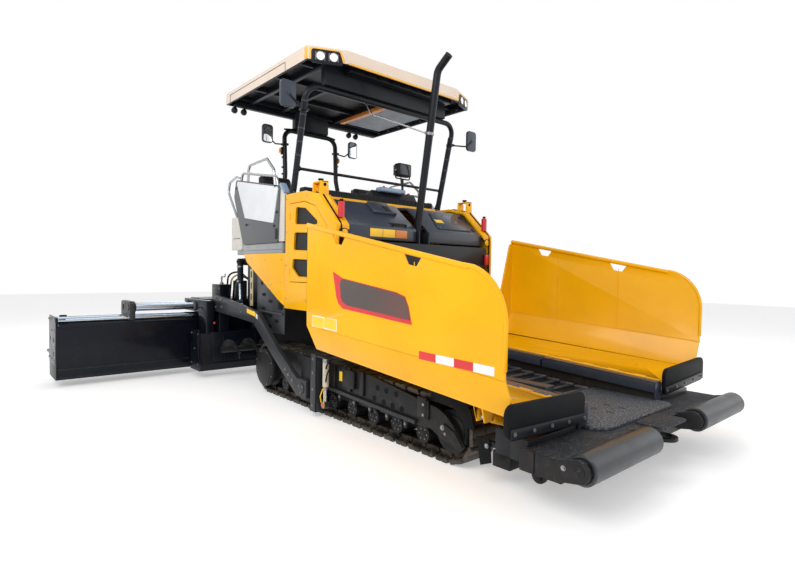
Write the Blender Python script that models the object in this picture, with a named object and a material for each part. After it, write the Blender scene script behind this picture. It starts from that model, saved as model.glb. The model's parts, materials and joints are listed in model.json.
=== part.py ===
"""Tracked asphalt paver: tractor with tipping hopper wings, and a towed screed with sliding extensions.

Metres, +Z up. The machine is drawn with y = 0 under the front idlers and y growing to the rear,
then one parent moves it so that the origin is the middle of its footprint, on the ground.
The front faces -Y and the machine's right-hand side is -X. Right-hand pieces are drawn,
and the left-hand ones are their mirror images.
"""

import math

import bpy
import bmesh
from mathutils import Matrix, Vector

# ---- driving dimensions -------------------------------------------------------------------
SEAT = 0.0003              # gap left between two solids that rest on each other
RUNNING = 0.006            # gap round what turns or slides
WELD = 0.004               # how far welded plates run into each other

TRACK_OUTER = 1.20         # outer face of a track, from the centre line
TRACK_WIDTH = 0.32
IDLER_RADIUS = 0.27        # over the shoes
SPROCKET_RADIUS = 0.33
SPROCKET_Y = 3.22
CHAIN_DEPTH = 0.085        # shoe, link and pin together
GUARD_PLATE = 0.03

FRAME_HALF = 0.71          # outer face of the frame's side plates
FRAME_PLATE = 0.05
FRAME_FRONT = -0.86
FRAME_REAR = SPROCKET_Y + 0.93    # clear behind the tracks
FLOOR_FRONT_Z = 0.42
FLOOR_REAR_Z = 0.58
FLOOR_PLATE = 0.04
TUNNEL_Z = 1.12            # top of the frame over the conveyors

HOPPER_REAR = 1.54         # rear edge of the hopper wings
BULKHEAD_Y = 1.585
BULKHEAD_PLATE = 0.04
WING_FRONT = -0.90
WING_OUTER = 1.65
WING_PLATE = 0.018
WING_STEP = 0.001          # the pan's plate stands this far inside the wall's
WING_TOP_REAR_Z = 2.05
WING_NOSE_Y = -0.50        # where the straight top edge ends
WING_NOSE_Z = 1.66
WING_NOSE_RADIUS = 0.40
WINDOW_Y = (1.0, 0.0)      # middles of the two windows under a wing's top edge
WINDOW_HALF = 0.10
WINDOW_HEIGHT = 0.065
WINDOW_DROP = 0.035        # from the wing's edge to a window's top
WINDOW_LEAN = 0.018        # rise of a window's edge over its half length
CREASE_REAR_Z = 1.05
CREASE_FRONT_Z = 0.90
CHAMFER_REAR_Z = 0.80
CHAMFER_FRONT_Z = 0.63
CHAMFER_WIDTH = 0.12
HINGE_X = 0.745
HINGE_FRONT_Z = 0.595
HINGE_REAR_Z = 0.735
HINGE_RADIUS = 0.022
WING_RAM_Y = -0.44
WING_RAM_BASE = (0.80, 0.36)   # x and z of the wing cylinder's lower pin
WING_RAM_EYE = (1.28, 0.52)
RAM_KNUCKLE = 0.045        # half the width of a cylinder's knuckle
RAM_PIN = 0.015

BEAM_HALF = 1.42
BEAM_LOW_Z = 0.27
ROLLER_RADIUS = 0.10
ROLLER_Y = -1.30
ROLLER_Z = 0.385
AXLE_RADIUS = 0.02
ROLLER_INNER = 0.43
ROLLER_OUTER = 1.385
GUIDE_WHEEL_RADIUS = 0.06
WHEEL_X = 1.08             # guide wheels under the hopper's front corners
WHEEL_Y = -0.80
WHEEL_Z = 0.13

HOOD_HALF = 1.10
HOOD_FRONT = 1.635
HOOD_TOP_Z = 2.46
HOOD_REAR = 2.50
SLOT_HALF = 0.09
COVER_OUTER = 1.27
COVER_REAR = 2.70
COVER_TOP_Z = 2.50
COVER_BOTTOM_Z = 1.13
DECK_Z = 1.93
DECK_DEPTH = 0.13
DECK_FRONT = 2.76
DECK_REAR = FRAME_REAR + 0.30
DECK_HALF = 1.27
DECK_NECK = 1.10           # half width behind the side walls
DECK_STEP_Y = 3.87
BODY_HALF = 1.05

HOOP_RADIUS = 0.035
HOOP_TOP_Z = 3.73
FRONT_HOOP_HALF = 1.22
REAR_HOOP_HALF = 0.46
CANOPY_HALF = 1.33
CANOPY_FRONT = 1.95
CANOPY_CORNER = 2.13
CANOPY_REAR = 4.35
CANOPY_BOTTOM = 3.93
CANOPY_TOP = 4.09
CANOPY_SKIN = 0.03

ARM_INNER = 1.2955         # inner face of a tow arm
ARM_PLATE = 0.06
TOW_Y = 2.13
TOW_Z = 0.27
TOW_PIN = 0.035
LIFT_X = 1.20
LIFT_TOP = (FRAME_REAR - 0.03, 1.70)    # y and z of the lift cylinder's upper pin
LIFT_EYE = (FRAME_REAR - 0.05, 1.13)
LIFT_EYE_HOLE = 0.026      # wide enough for the linkage's small drift

SCREED_HALF = 1.60
AUGER_Y = FRAME_REAR + 0.15
AUGER_RADIUS = 0.17
SCREED_FRONT = AUGER_Y + AUGER_RADIUS + 0.05
SCREED_DEPTH = 0.42
SCREED_BOTTOM = 0.10
SCREED_TOP = 0.64
HOUSING_TOP = 1.12         # top of the guide tubes' housing
HOUSING_HALF = 1.49
TOWER_TOP = 1.36
AUGER_Z = 0.43
AUGER_OUTER = 1.40

EXTENSION_LENGTH = 1.95
EXTENSION_OUTER = 3.30
EXTENSION_FRONT = SCREED_FRONT + SCREED_DEPTH + 0.06
EXTENSION_DEPTH = 0.56
EXTENSION_TOP = 0.80
EXTENSION_PLATE = 0.03
BRIDGE_X = EXTENSION_OUTER - 0.92
BRIDGE_HALF = 0.035
UPPER_TUBE_RADIUS = 0.05
UPPER_TUBE_Z = 1.02
LOWER_TUBE_RADIUS = 0.035
LOWER_TUBE_Z = 0.87
TUBE_INSET = 0.12          # guide tubes, from the extension's front and rear
STEP_DEPTH = 0.28
STEP_Z = 0.42

MACHINE_FRONT = ROLLER_Y - ROLLER_RADIUS
MACHINE_REAR = EXTENSION_FRONT + EXTENSION_DEPTH + STEP_DEPTH


# ---- tools ----------------------------------------------------------------------------------
def material(name, colour, roughness, metallic=0.0):
    paint = bpy.data.materials.new(name)
    paint.use_nodes = True
    shader = paint.node_tree.nodes["Principled BSDF"]
    shader.inputs["Base Color"].default_value = (*colour, 1.0)
    shader.inputs["Roughness"].default_value = roughness
    shader.inputs["Metallic"].default_value = metallic
    return paint


def link(mesh, name):
    thing = bpy.data.objects.new(name, mesh)
    bpy.context.scene.collection.objects.link(thing)
    return thing


def from_bmesh(bm, name):
    bmesh.ops.recalc_face_normals(bm, faces=bm.faces[:])
    mesh = bpy.data.meshes.new(name)
    bm.to_mesh(mesh)
    bm.free()
    return link(mesh, name)


def prism(outline, axis, low, high, name="prism"):
    """A closed outline, pushed along an axis. Its pairs are (y, z), (x, z) or (x, y)."""
    along = "XYZ".index(axis)
    bm = bmesh.new()
    corners = []
    for first, second in outline:
        place = [first, second]
        place.insert(along, min(low, high))
        corners.append(bm.verts.new(place))
    face = bm.faces.new(corners)
    pushed = bmesh.ops.extrude_face_region(bm, geom=[face])["geom"]
    shift = [0.0, 0.0, 0.0]
    shift[along] = abs(high - low)
    bmesh.ops.translate(bm, vec=shift, verts=[v for v in pushed if isinstance(v, bmesh.types.BMVert)])
    return from_bmesh(bm, name)


def block(x, y, z, name="block"):
    """A box from three (low, high) pairs."""
    outline = [(x[0], y[0]), (x[1], y[0]), (x[1], y[1]), (x[0], y[1])]
    return prism(outline, "Z", z[0], z[1], name)


def rod(start, end, radius, sides=20, name="rod"):
    """A round bar from one point to another."""
    start = Vector(start)
    end = Vector(end)
    span = end - start
    bm = bmesh.new()
    turn = span.to_track_quat("Z", "Y").to_matrix().to_4x4()
    place = Matrix.Translation((start + end) / 2) @ turn
    bmesh.ops.create_cone(bm, cap_ends=True, segments=sides, radius1=radius, radius2=radius,
                          depth=span.length, matrix=place)
    return from_bmesh(bm, name)


def hole_radius(radius, gap=SEAT, sides=16):
    """Corner radius of a hole with flat sides, so that a round pin turns in it freely."""
    return (radius + gap) / math.cos(math.pi / sides)


def bend(points, radius, steps=4):
    """The points of a bent line: every inner corner becomes an arc of the given radius."""
    points = [Vector(p) for p in points]
    line = [points[0]]
    for before, corner, after in zip(points, points[1:], points[2:]):
        back = (before - corner).normalized()
        ahead = (after - corner).normalized()
        half = back.angle(ahead) / 2
        reach = min(radius / math.tan(half), (before - corner).length * 0.49,
                    (after - corner).length * 0.49)
        real = reach * math.tan(half)
        centre = corner + (back + ahead).normalized() * (real / math.sin(half))
        first = corner + back * reach - centre
        last = corner + ahead * reach - centre
        for step in range(steps + 1):
            line.append(centre + first.slerp(last, step / steps).normalized() * real)
    line.append(points[-1])
    return line


def pipe(points, radius, corner=0.08, steps=4, name="pipe"):
    """A bent round tube with closed ends."""
    line = bend(points, corner, steps)
    curve = bpy.data.curves.new(name, "CURVE")
    curve.dimensions = "3D"
    curve.bevel_depth = radius
    curve.bevel_resolution = 2
    curve.use_fill_caps = True
    spline = curve.splines.new("POLY")
    spline.points.add(len(line) - 1)
    for target, place in zip(spline.points, line):
        target.co = (*place, 1.0)
    guide = bpy.data.objects.new(name, curve)
    bpy.context.scene.collection.objects.link(guide)
    bpy.context.view_layer.update()
    mesh = bpy.data.meshes.new_from_object(guide.evaluated_get(bpy.context.evaluated_depsgraph_get()))
    bpy.data.objects.remove(guide)
    bm = bmesh.new()
    bm.from_mesh(mesh)
    bmesh.ops.remove_doubles(bm, verts=bm.verts[:], dist=0.00005)
    return from_bmesh(bm, name)


def combine(base, others, operation):
    """Applies the other solids to the first one, and removes them."""
    for other in others:
        step = base.modifiers.new(operation, "BOOLEAN")
        step.operation = operation
        step.solver = "EXACT"
        step.object = other
    bpy.context.view_layer.update()
    graph = bpy.context.evaluated_depsgraph_get()
    mesh = bpy.data.meshes.new_from_object(base.evaluated_get(graph))
    base.modifiers.clear()
    base.data = mesh
    for other in others:
        bpy.data.objects.remove(other)
    return base


def weld(*parts):
    return combine(parts[0], parts[1:], "UNION")


def cut(base, *cutters):
    return combine(base, cutters, "DIFFERENCE")


def finish(thing, name, paint, pivot=(0.0, 0.0, 0.0)):
    """Names and paints a piece, puts its origin on its joint's axis and sets it in the machine."""
    thing.name = name
    thing.data.name = name
    thing.data.materials.clear()
    thing.data.materials.append(paint)
    thing.data.transform(Matrix.Translation(-Vector(pivot)))
    thing.data.shade_smooth()
    thing.data.set_sharp_from_angle(angle=math.radians(35))
    thing.parent = machine
    thing.location = pivot
    return thing


def mirrored(thing, name):
    """The left-hand twin of a right-hand piece."""
    mesh = thing.data.copy()
    mesh.transform(Matrix.Scale(-1.0, 4, (1.0, 0.0, 0.0)))
    mesh.flip_normals()
    twin = link(mesh, name)
    mesh.name = name
    twin.parent = machine
    twin.location = (-thing.location.x, thing.location.y, thing.location.z)
    return twin


def pair(thing, name, paint, pivot=(0.0, 0.0, 0.0)):
    right = finish(thing, name + "_right", paint, pivot)
    return right, mirrored(right, name + "_left")


def lerp(low, high, share):
    return low + (high - low) * share


def arc(centre, radius, start, end, steps):
    """Points on an arc, in degrees, in the plane of an outline."""
    points = []
    for step in range(steps + 1):
        turn = math.radians(lerp(start, end, step / steps))
        points.append((centre[0] + radius * math.cos(turn), centre[1] + radius * math.sin(turn)))
    return points


for old in list(bpy.data.objects):
    bpy.data.objects.remove(old)

# ---- finishes -------------------------------------------------------------------------------
yellow = material("yellow_paint", (0.93, 0.58, 0.02), 0.32)
amber = material("amber_paint", (0.80, 0.42, 0.02), 0.38)
dark = material("dark_paint", (0.035, 0.04, 0.05), 0.5)
frame_grey = material("frame_paint", (0.05, 0.045, 0.04), 0.55)
hood_blue = material("hood_paint", (0.05, 0.065, 0.085), 0.35)
track_steel = material("track_steel", (0.06, 0.05, 0.04), 0.65, 0.6)
rubber = material("black_rubber", (0.01, 0.01, 0.011), 0.6)
roller_steel = material("roller_paint", (0.05, 0.055, 0.06), 0.35)
chrome = material("chrome", (0.55, 0.60, 0.66), 0.12, 1.0)
white = material("white_panel", (0.80, 0.82, 0.84), 0.4)
seat_black = material("seat_vinyl", (0.015, 0.015, 0.017), 0.6)
zinc = material("zinc_plate", (0.50, 0.50, 0.48), 0.35, 0.9)

machine = bpy.data.objects.new("machine", None)
bpy.context.scene.collection.objects.link(machine)
machine.location = (0.0, -(MACHINE_FRONT + MACHINE_REAR) / 2, 0.0)


# ---- undercarriage ----------------------------------------------------------------------------
def round_outline(y, z, radius, steps=16):
    """A wheel's side view; its corners line up with those of the track's ends."""
    return arc((y, z), radius, -90, 270, steps)[:-1]


def loop_outline(inset, steps=8):
    """The track's side view, a given depth inside its shoes."""
    front = arc((0.0, IDLER_RADIUS), IDLER_RADIUS - inset, 90, 270, steps)
    rear = arc((SPROCKET_Y, SPROCKET_RADIUS), SPROCKET_RADIUS - inset, -90, 90, steps)
    return front + rear


def make_tracks():
    inner = TRACK_OUTER - TRACK_WIDTH
    loop = prism(loop_outline(0.0), "X", -TRACK_OUTER, -inner)
    hole = prism(loop_outline(CHAIN_DEPTH), "X", -TRACK_OUTER - 0.1, -inner + 0.1)
    pair(cut(loop, hole), "track", track_steel)


def make_track_frames():
    """Beam, idler, sprocket and rollers inside the loop, with the outer guard and the drive cover."""
    inner = TRACK_OUTER - TRACK_WIDTH
    run = CHAIN_DEPTH + SEAT
    face = 0.05
    wheel_x = (-TRACK_OUTER + face, -inner - face)
    beam = block((wheel_x[0], -inner + 0.02), (0.05, SPROCKET_Y - 0.1), (0.22, 0.42))
    parts = [prism(round_outline(0.0, IDLER_RADIUS, IDLER_RADIUS - run), "X", *wheel_x),
             prism(round_outline(SPROCKET_Y, SPROCKET_RADIUS, SPROCKET_RADIUS - run), "X", *wheel_x)]
    roller_radius = 0.08
    count = 8
    for index in range(count):
        y = lerp(0.34, SPROCKET_Y - 0.40, index / (count - 1))
        parts.append(prism(round_outline(y, run + roller_radius, roller_radius, 12), "X", *wheel_x))
    guard_low = TRACK_OUTER + SEAT
    guard = [(-0.20, 0.20), (-0.05, 0.36), (0.02, 0.42), (0.12, 0.455), (1.03, 0.58), (2.75, 0.62),
             (2.75, 0.36), (0.40, 0.26), (0.18, 0.26), (0.05, 0.20)]
    parts.append(prism(guard, "X", -guard_low - GUARD_PLATE, -guard_low))
    for y in (0.45, 1.45, 2.45):
        parts.append(block((-guard_low - 0.005, wheel_x[0] + 0.02), (y - 0.07, y + 0.07), (0.30, 0.40)))
    cover_z = SPROCKET_RADIUS
    parts.append(rod((-TRACK_OUTER - 0.08, SPROCKET_Y, cover_z), (wheel_x[0] + 0.02, SPROCKET_Y, cover_z), 0.20, 24))
    for y in (0.75, 2.35):
        parts.append(block((-inner - 0.02, -FRAME_HALF - SEAT), (y - 0.14, y + 0.14), (0.25, 0.40)))
    pair(weld(beam, *parts), "track_frame", frame_grey)


# ---- chassis ---------------------------------------------------------------------------------
def hinge_z(y):
    """Height of the wing's hinge line, which falls towards the front."""
    return lerp(HINGE_FRONT_Z, HINGE_REAR_Z, (y - WING_FRONT) / (HOPPER_REAR - WING_FRONT))


def hinge_line():
    """Direction of the wing's hinge line."""
    return Vector((0.0, 1.0, hinge_z(1.0) - hinge_z(0.0))).normalized()


def make_main_frame():
    edge = HINGE_RADIUS + RUNNING
    behind = BULKHEAD_Y + 0.01
    side_outline = [(FRAME_FRONT, 0.24), (FRAME_FRONT, hinge_z(FRAME_FRONT) - edge), (behind, hinge_z(behind) - edge),
                    (behind, TUNNEL_Z), (FRAME_REAR, TUNNEL_Z), (FRAME_REAR, 0.44), (3.40, 0.24)]
    inner = FRAME_HALF - FRAME_PLATE
    sides = [prism(side_outline, "X", side * FRAME_HALF, side * inner) for side in (-1, 1)]
    reach = inner + WELD
    level = -0.20
    top = [(FRAME_FRONT, FLOOR_FRONT_Z), (level, FLOOR_FRONT_Z), (BULKHEAD_Y, FLOOR_REAR_Z), (FRAME_REAR, FLOOR_REAR_Z)]
    bottom = [(y, z - FLOOR_PLATE) for y, z in reversed(top)]
    floor = prism(top + bottom, "X", -reach, reach)
    spine = block((-0.05, 0.05), (BULKHEAD_Y, FRAME_REAR), (FLOOR_REAR_Z - 0.01, TUNNEL_Z))
    tie = block((-reach, reach), (FRAME_REAR - 0.12, FRAME_REAR), (TUNNEL_Z - 0.10, TUNNEL_Z))
    crosses = [block((-reach, reach), (y, y + 0.12), (0.26, FLOOR_FRONT_Z - 0.01))
               for y in (FRAME_FRONT + 0.02, 0.70, 2.30, 3.30)]
    outriggers = [block(sorted((side * 0.69, side * 1.20)), (-0.62, -0.46), (0.13, 0.25)) for side in (-1, 1)]
    posts = [block(sorted((side * 0.69, side * 1.12)), (FRAME_FRONT, FRAME_FRONT + 0.10), (0.20, 0.50))
             for side in (-1, 1)]
    stays = [block(sorted((side * 0.69, side * (FRAME_HALF + 0.10))), (-0.62, -0.46), (0.24, 0.30)) for side in (-1, 1)]
    ram_x, ram_z = WING_RAM_BASE
    lugs = []
    under = HINGE_RADIUS + SEAT
    for middle in (-0.72, -0.05, 0.65, 1.35):
        ends = (middle - 0.07, middle + 0.07)
        seat = [(y, hinge_z(y) - under) for y in ends] + [(y, hinge_z(y) - 0.09) for y in reversed(ends)]
        lugs += [prism(seat, "X", side * 0.69, side * (HINGE_X + 0.005)) for side in (-1, 1)]
    ear = 0.02
    for side in (-1, 1):
        for y in (WING_RAM_Y - RAM_KNUCKLE - RUNNING - ear, WING_RAM_Y + RAM_KNUCKLE + RUNNING):
            lugs.append(block(sorted((side * 0.70, side * (ram_x + 0.04))), (y, y + ear), (ram_z - 0.05, ram_z + 0.04)))
        middle = Vector((side * ram_x, WING_RAM_Y, ram_z))
        reach_out = hinge_line() * (RAM_KNUCKLE + RUNNING + ear / 2)
        lugs.append(rod(middle - reach_out, middle + reach_out, RAM_PIN, 16))
        for x in (WHEEL_X - 0.04, WHEEL_X + 0.025):
            lugs.append(block(sorted((side * x, side * (x + 0.015))), (WHEEL_Y - 0.03, WHEEL_Y + 0.03),
                              (WHEEL_Z - 0.03, 0.22)))
        lugs.append(rod((side * (WHEEL_X - 0.03), WHEEL_Y, WHEEL_Z), (side * (WHEEL_X + 0.03), WHEEL_Y, WHEEL_Z),
                        RAM_PIN, 12))
    finish(weld(*sides, floor, spine, tie, *crosses, *outriggers, *posts, *stays, *lugs), "main_frame", frame_grey)
    wheel = rod((-WHEEL_X - 0.02, WHEEL_Y, WHEEL_Z), (-WHEEL_X + 0.02, WHEEL_Y, WHEEL_Z), GUIDE_WHEEL_RADIUS, 20)
    bore = rod((-WHEEL_X - 0.1, WHEEL_Y, WHEEL_Z), (-WHEEL_X + 0.1, WHEEL_Y, WHEEL_Z), hole_radius(RAM_PIN), 16)
    pair(cut(wheel, bore), "guide_wheel", frame_grey, (0.0, WHEEL_Y, WHEEL_Z))


def make_tractor_body():
    """Engine bay and tanks: the dark body over the conveyors, open above its front half."""
    front = BULKHEAD_Y + BULKHEAD_PLATE + SEAT
    low = TUNNEL_Z + SEAT
    top = DECK_Z - DECK_DEPTH
    floor = 0.05
    shell = block((-BODY_HALF, BODY_HALF), (front, DECK_REAR - 0.25), (low, top))
    bay = block((-BODY_HALF + 0.06, BODY_HALF - 0.06), (front + 0.06, DECK_FRONT - 0.10), (low + floor, top + 0.1))
    brackets = []
    for side in (-1, 1):
        y, z = LIFT_TOP
        near = sorted((side * (BODY_HALF - 0.01), side * (LIFT_X - 0.045)))
        brackets.append(block(near, (y - 0.05, y + 0.05), (z - 0.05, z + 0.05)))
        brackets.append(rod((side * (LIFT_X - 0.06), y, z), (side * (LIFT_X + 0.05), y, z), 0.02, 12))
    finish(weld(cut(shell, bay), *brackets), "tractor_body", dark)
    engine = block((-0.45, 0.45), (front + 0.12, DECK_FRONT - 0.25), (low + floor + SEAT, 1.86))
    finish(engine, "engine_block", frame_grey)


# ---- hopper ----------------------------------------------------------------------------------
def wing_top(y):
    """Height of the wing's straight top edge."""
    return lerp(WING_NOSE_Z, WING_TOP_REAR_Z, (y - WING_NOSE_Y) / (HOPPER_REAR - WING_NOSE_Y))


def wing_section(y, crease, chamfer):
    """The lower part of a wing where it is cut across: chamfer and floor, as a closed band."""
    t = WING_PLATE
    low = hinge_z(y) - t / 2
    outer = -WING_OUTER + WING_STEP
    corner = -WING_OUTER + CHAMFER_WIDTH
    band = [(outer, crease + 0.012), (outer, crease), (corner, chamfer), (-HINGE_X, low), (-HINGE_X, low + t),
            (corner + 0.01, chamfer + t * 1.2), (outer + t, crease + 0.004), (outer + t, crease + 0.012)]
    return [(x, y, z) for x, z in band]


def wing_pan():
    """Chamfer and floor of a wing, drawn between its front and rear sections."""
    bm = bmesh.new()
    rings = []
    for corners in (wing_section(WING_FRONT, CREASE_FRONT_Z, CHAMFER_FRONT_Z),
                    wing_section(HOPPER_REAR, CREASE_REAR_Z, CHAMFER_REAR_Z)):
        verts = [bm.verts.new(c) for c in corners]
        bm.faces.new(verts)
        rings.append([bm.edges.get((a, b)) for a, b in zip(verts, verts[1:] + verts[:1])])
    bmesh.ops.bridge_loops(bm, edges=rings[0] + rings[1])
    return from_bmesh(bm, "pan")


def wing_pivot():
    return (-HINGE_X, 0.0, hinge_z(0.0))


def make_hopper_wings():
    rise = math.degrees(math.atan2(WING_TOP_REAR_Z - WING_NOSE_Z, HOPPER_REAR - WING_NOSE_Y))
    nose = arc((WING_NOSE_Y, WING_NOSE_Z - WING_NOSE_RADIUS), WING_NOSE_RADIUS, 90 + rise, 176, 8)
    wall_rear = HOPPER_REAR + WING_STEP
    outline = [(WING_FRONT + WING_STEP, CREASE_FRONT_Z + WELD), (wall_rear, CREASE_REAR_Z + WELD),
               (wall_rear, WING_TOP_REAR_Z)] + nose
    wall = prism(outline, "X", -WING_OUTER, -WING_OUTER + WING_PLATE)
    lip_drop = 0.03
    lip_top = 0.002
    lip = prism([(HOPPER_REAR, WING_TOP_REAR_Z - lip_drop), (HOPPER_REAR, WING_TOP_REAR_Z + lip_top),
                 (nose[0][0], nose[0][1] + lip_top), (nose[0][0], nose[0][1] - lip_drop)], "X", -WING_OUTER - 0.012, -WING_OUTER + 0.035)
    gusset = prism([(-WING_OUTER, CREASE_REAR_Z), (-WING_OUTER, WING_TOP_REAR_Z - 0.02),
                    (-WING_OUTER + 0.08, WING_TOP_REAR_Z - 0.06), (-1.25, CHAMFER_REAR_Z),
                    (-WING_OUTER + CHAMFER_WIDTH, CHAMFER_REAR_Z + 0.005)], "Y", HOPPER_REAR - 0.02, HOPPER_REAR - WING_STEP)
    tube_ends = (WING_FRONT + 0.02, HOPPER_REAR - 0.02)
    tube = rod(*[(-HINGE_X, y, hinge_z(y)) for y in tube_ends], HINGE_RADIUS, 12)
    lugs = []
    for y in (WING_RAM_Y - 0.045, WING_RAM_Y + 0.03):
        eye_x, eye_z = WING_RAM_EYE
        lugs.append(prism([(-eye_x - 0.10, 0.66), (-eye_x - 0.05, eye_z - 0.04), (-eye_x + 0.05, eye_z - 0.04),
                           (-eye_x + 0.10, 0.66)], "Y", y, y + 0.015))
    notches = []
    for y in WINDOW_Y:
        top = wing_top(y) - WINDOW_DROP
        low = top - WINDOW_HEIGHT
        notches.append(prism([(y - WINDOW_HALF, top - WINDOW_LEAN), (y + WINDOW_HALF, top + WINDOW_LEAN),
                              (y + WINDOW_HALF / 2, low), (y - WINDOW_HALF / 2, low - WINDOW_LEAN)],
                             "X", -WING_OUTER - 0.05, -WING_OUTER + 0.06))
    wing = cut(weld(wall, wing_pan(), lip, gusset, tube, *lugs), *notches)
    pair(wing, "hopper_wing", yellow, wing_pivot())
    inner = HINGE_X + 0.04
    apron_outline = [(-1.67, 0.47), (-inner, 0.44), (-inner, 0.62)] + arc((-inner - 0.06, 0.64), 0.06, 0, 90, 4)
    apron_outline += arc((-1.57, 0.71), 0.10, 90, 180, 5)
    rear = WING_FRONT - SEAT
    apron = prism(apron_outline, "Y", rear - 0.04, rear)
    pair(apron, "wing_apron", rubber, wing_pivot())


def ram(base, eye, across, barrel_length, stem_start, stroke_in, sizes, pin):
    """A hydraulic cylinder as two solids: the bored barrel with its knuckle, and the rod with its eye."""
    barrel_radius, rod_radius, knuckle_radius, eye_radius = sizes
    along = (eye - base).normalized()
    barrel = rod(base, base + along * barrel_length, barrel_radius, 16)
    knuckle = rod(base - across, base + across, knuckle_radius, 16)
    pin_hole = rod(base - across * 2, base + across * 2, hole_radius(pin), 16)
    bore = rod(base + along * (stem_start - stroke_in), base + along * (barrel_length + 0.1), rod_radius + SEAT, 12)
    barrel = cut(weld(barrel, knuckle), pin_hole, bore)
    stem = rod(base + along * stem_start, eye, rod_radius, 12)
    ring = rod(eye - across * 0.5, eye + across * 0.5, eye_radius, 16)
    return barrel, weld(stem, ring)


def make_wing_cylinders():
    base = Vector((-WING_RAM_BASE[0], WING_RAM_Y, WING_RAM_BASE[1]))
    eye = Vector((-WING_RAM_EYE[0], WING_RAM_Y, WING_RAM_EYE[1]))
    closed = (eye - base).length
    barrel, piston = ram(base, eye, hinge_line() * RAM_KNUCKLE, closed - 0.09, closed - 0.30, RUNNING,
                         (0.04, 0.02, 0.045, 0.03), RAM_PIN)
    pair(barrel, "wing_cylinder", yellow, tuple(base))
    pair(piston, "wing_rod", chrome, tuple(base))


def make_front_beam():
    """Push-roller beam with its roller brackets and tow eye."""
    rear = FRAME_FRONT - SEAT
    front = ROLLER_Y + ROLLER_RADIUS + 0.02
    beam = block((-BEAM_HALF, BEAM_HALF), (front, rear), (BEAM_LOW_Z, FLOOR_FRONT_Z))
    parts = []
    for x in (ROLLER_INNER - 0.02 - RUNNING, ROLLER_OUTER + 0.02 + RUNNING):
        for side in (-1, 1):
            outline = [(front + 0.05, BEAM_LOW_Z + 0.01), (front + 0.05, FLOOR_FRONT_Z)]
            outline += arc((ROLLER_Y, ROLLER_Z), 0.075, 90, 270, 6)
            parts.append(prism(outline, "X", *sorted((side * (x - 0.02), side * (x + 0.02)))))
    for side in (-1, 1):
        parts.append(rod((side * (ROLLER_INNER - 0.03), ROLLER_Y, ROLLER_Z),
                         (side * (ROLLER_OUTER + 0.03), ROLLER_Y, ROLLER_Z), AXLE_RADIUS, 16))
    eye_y = front - 0.05
    eye = prism(arc((0.0, eye_y), 0.10, 180, 360, 8) + [(0.10, front + 0.05), (-0.10, front + 0.05)], "Z", 0.29, 0.32)
    parts.append(cut(eye, rod((0.0, eye_y, 0.2), (0.0, eye_y, 0.5), 0.05, 16)))
    finish(weld(beam, *parts), "front_beam", frame_grey)
    roller = rod((-ROLLER_OUTER, ROLLER_Y, ROLLER_Z), (-ROLLER_INNER, ROLLER_Y, ROLLER_Z), ROLLER_RADIUS, 24)
    bore = rod((-ROLLER_OUTER - 0.1, ROLLER_Y, ROLLER_Z), (-ROLLER_INNER + 0.1, ROLLER_Y, ROLLER_Z),
               hole_radius(AXLE_RADIUS), 16)
    pair(cut(roller, bore), "push_roller", roller_steel, (0.0, ROLLER_Y, ROLLER_Z))
    low = FLOOR_FRONT_Z + SEAT
    apron = prism([(-0.65, -0.25), (-0.65, -1.00), (-0.55, -1.06), (0.55, -1.06), (0.65, -1.00), (0.65, -0.25)],
                  "Z", low, low + 0.025)
    finish(apron, "front_apron", rubber)


# ---- engine cover and operator's deck ----------------------------------------------------------
def hood_profile():
    """Side view of the hood's skin, from the foot of its front face to the cowl."""
    return [(HOOD_FRONT, 1.95), (HOOD_FRONT, 2.10), (2.03, 2.41), (HOOD_REAR, HOOD_TOP_Z)]


def make_hood():
    """Rear wall of the hopper with the exhaust's trough, two lids beside it, and the bar they hinge on."""
    skin = 0.03
    slot_floor = 1.93
    trough_wall = 0.02
    trough = block((-SLOT_HALF, SLOT_HALF), (BULKHEAD_Y + 0.01, HOOD_REAR - 0.02), (slot_floor - 0.03, 2.08))
    space = block((-SLOT_HALF + trough_wall, SLOT_HALF - trough_wall), (BULKHEAD_Y - 0.1, HOOD_REAR - 0.04),
                  (slot_floor, 2.2))
    trough = cut(trough, space)
    wall = block((-1.14, 1.14), (BULKHEAD_Y, BULKHEAD_Y + BULKHEAD_PLATE), (TUNNEL_Z + SEAT, 1.93))
    finish(weld(wall, trough), "hopper_bulkhead", dark)
    bar = block((-HOOD_HALF + SEAT, HOOD_HALF - SEAT), (HOOD_REAR + SEAT, COVER_REAR), (1.88, HOOD_TOP_Z + 0.01))
    finish(bar, "cowl_bar", yellow)
    profile = hood_profile()
    under = [(HOOD_REAR, HOOD_TOP_Z - skin), (2.04, 2.41 - skin), (HOOD_FRONT + skin, 2.085), (HOOD_FRONT + skin, 1.95)]
    lid = prism(profile + under, "X", -HOOD_HALF + RUNNING, -SLOT_HALF - RUNNING)
    pair(lid, "hood_lid", hood_blue, (0.0, HOOD_REAR, HOOD_TOP_Z))


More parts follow.
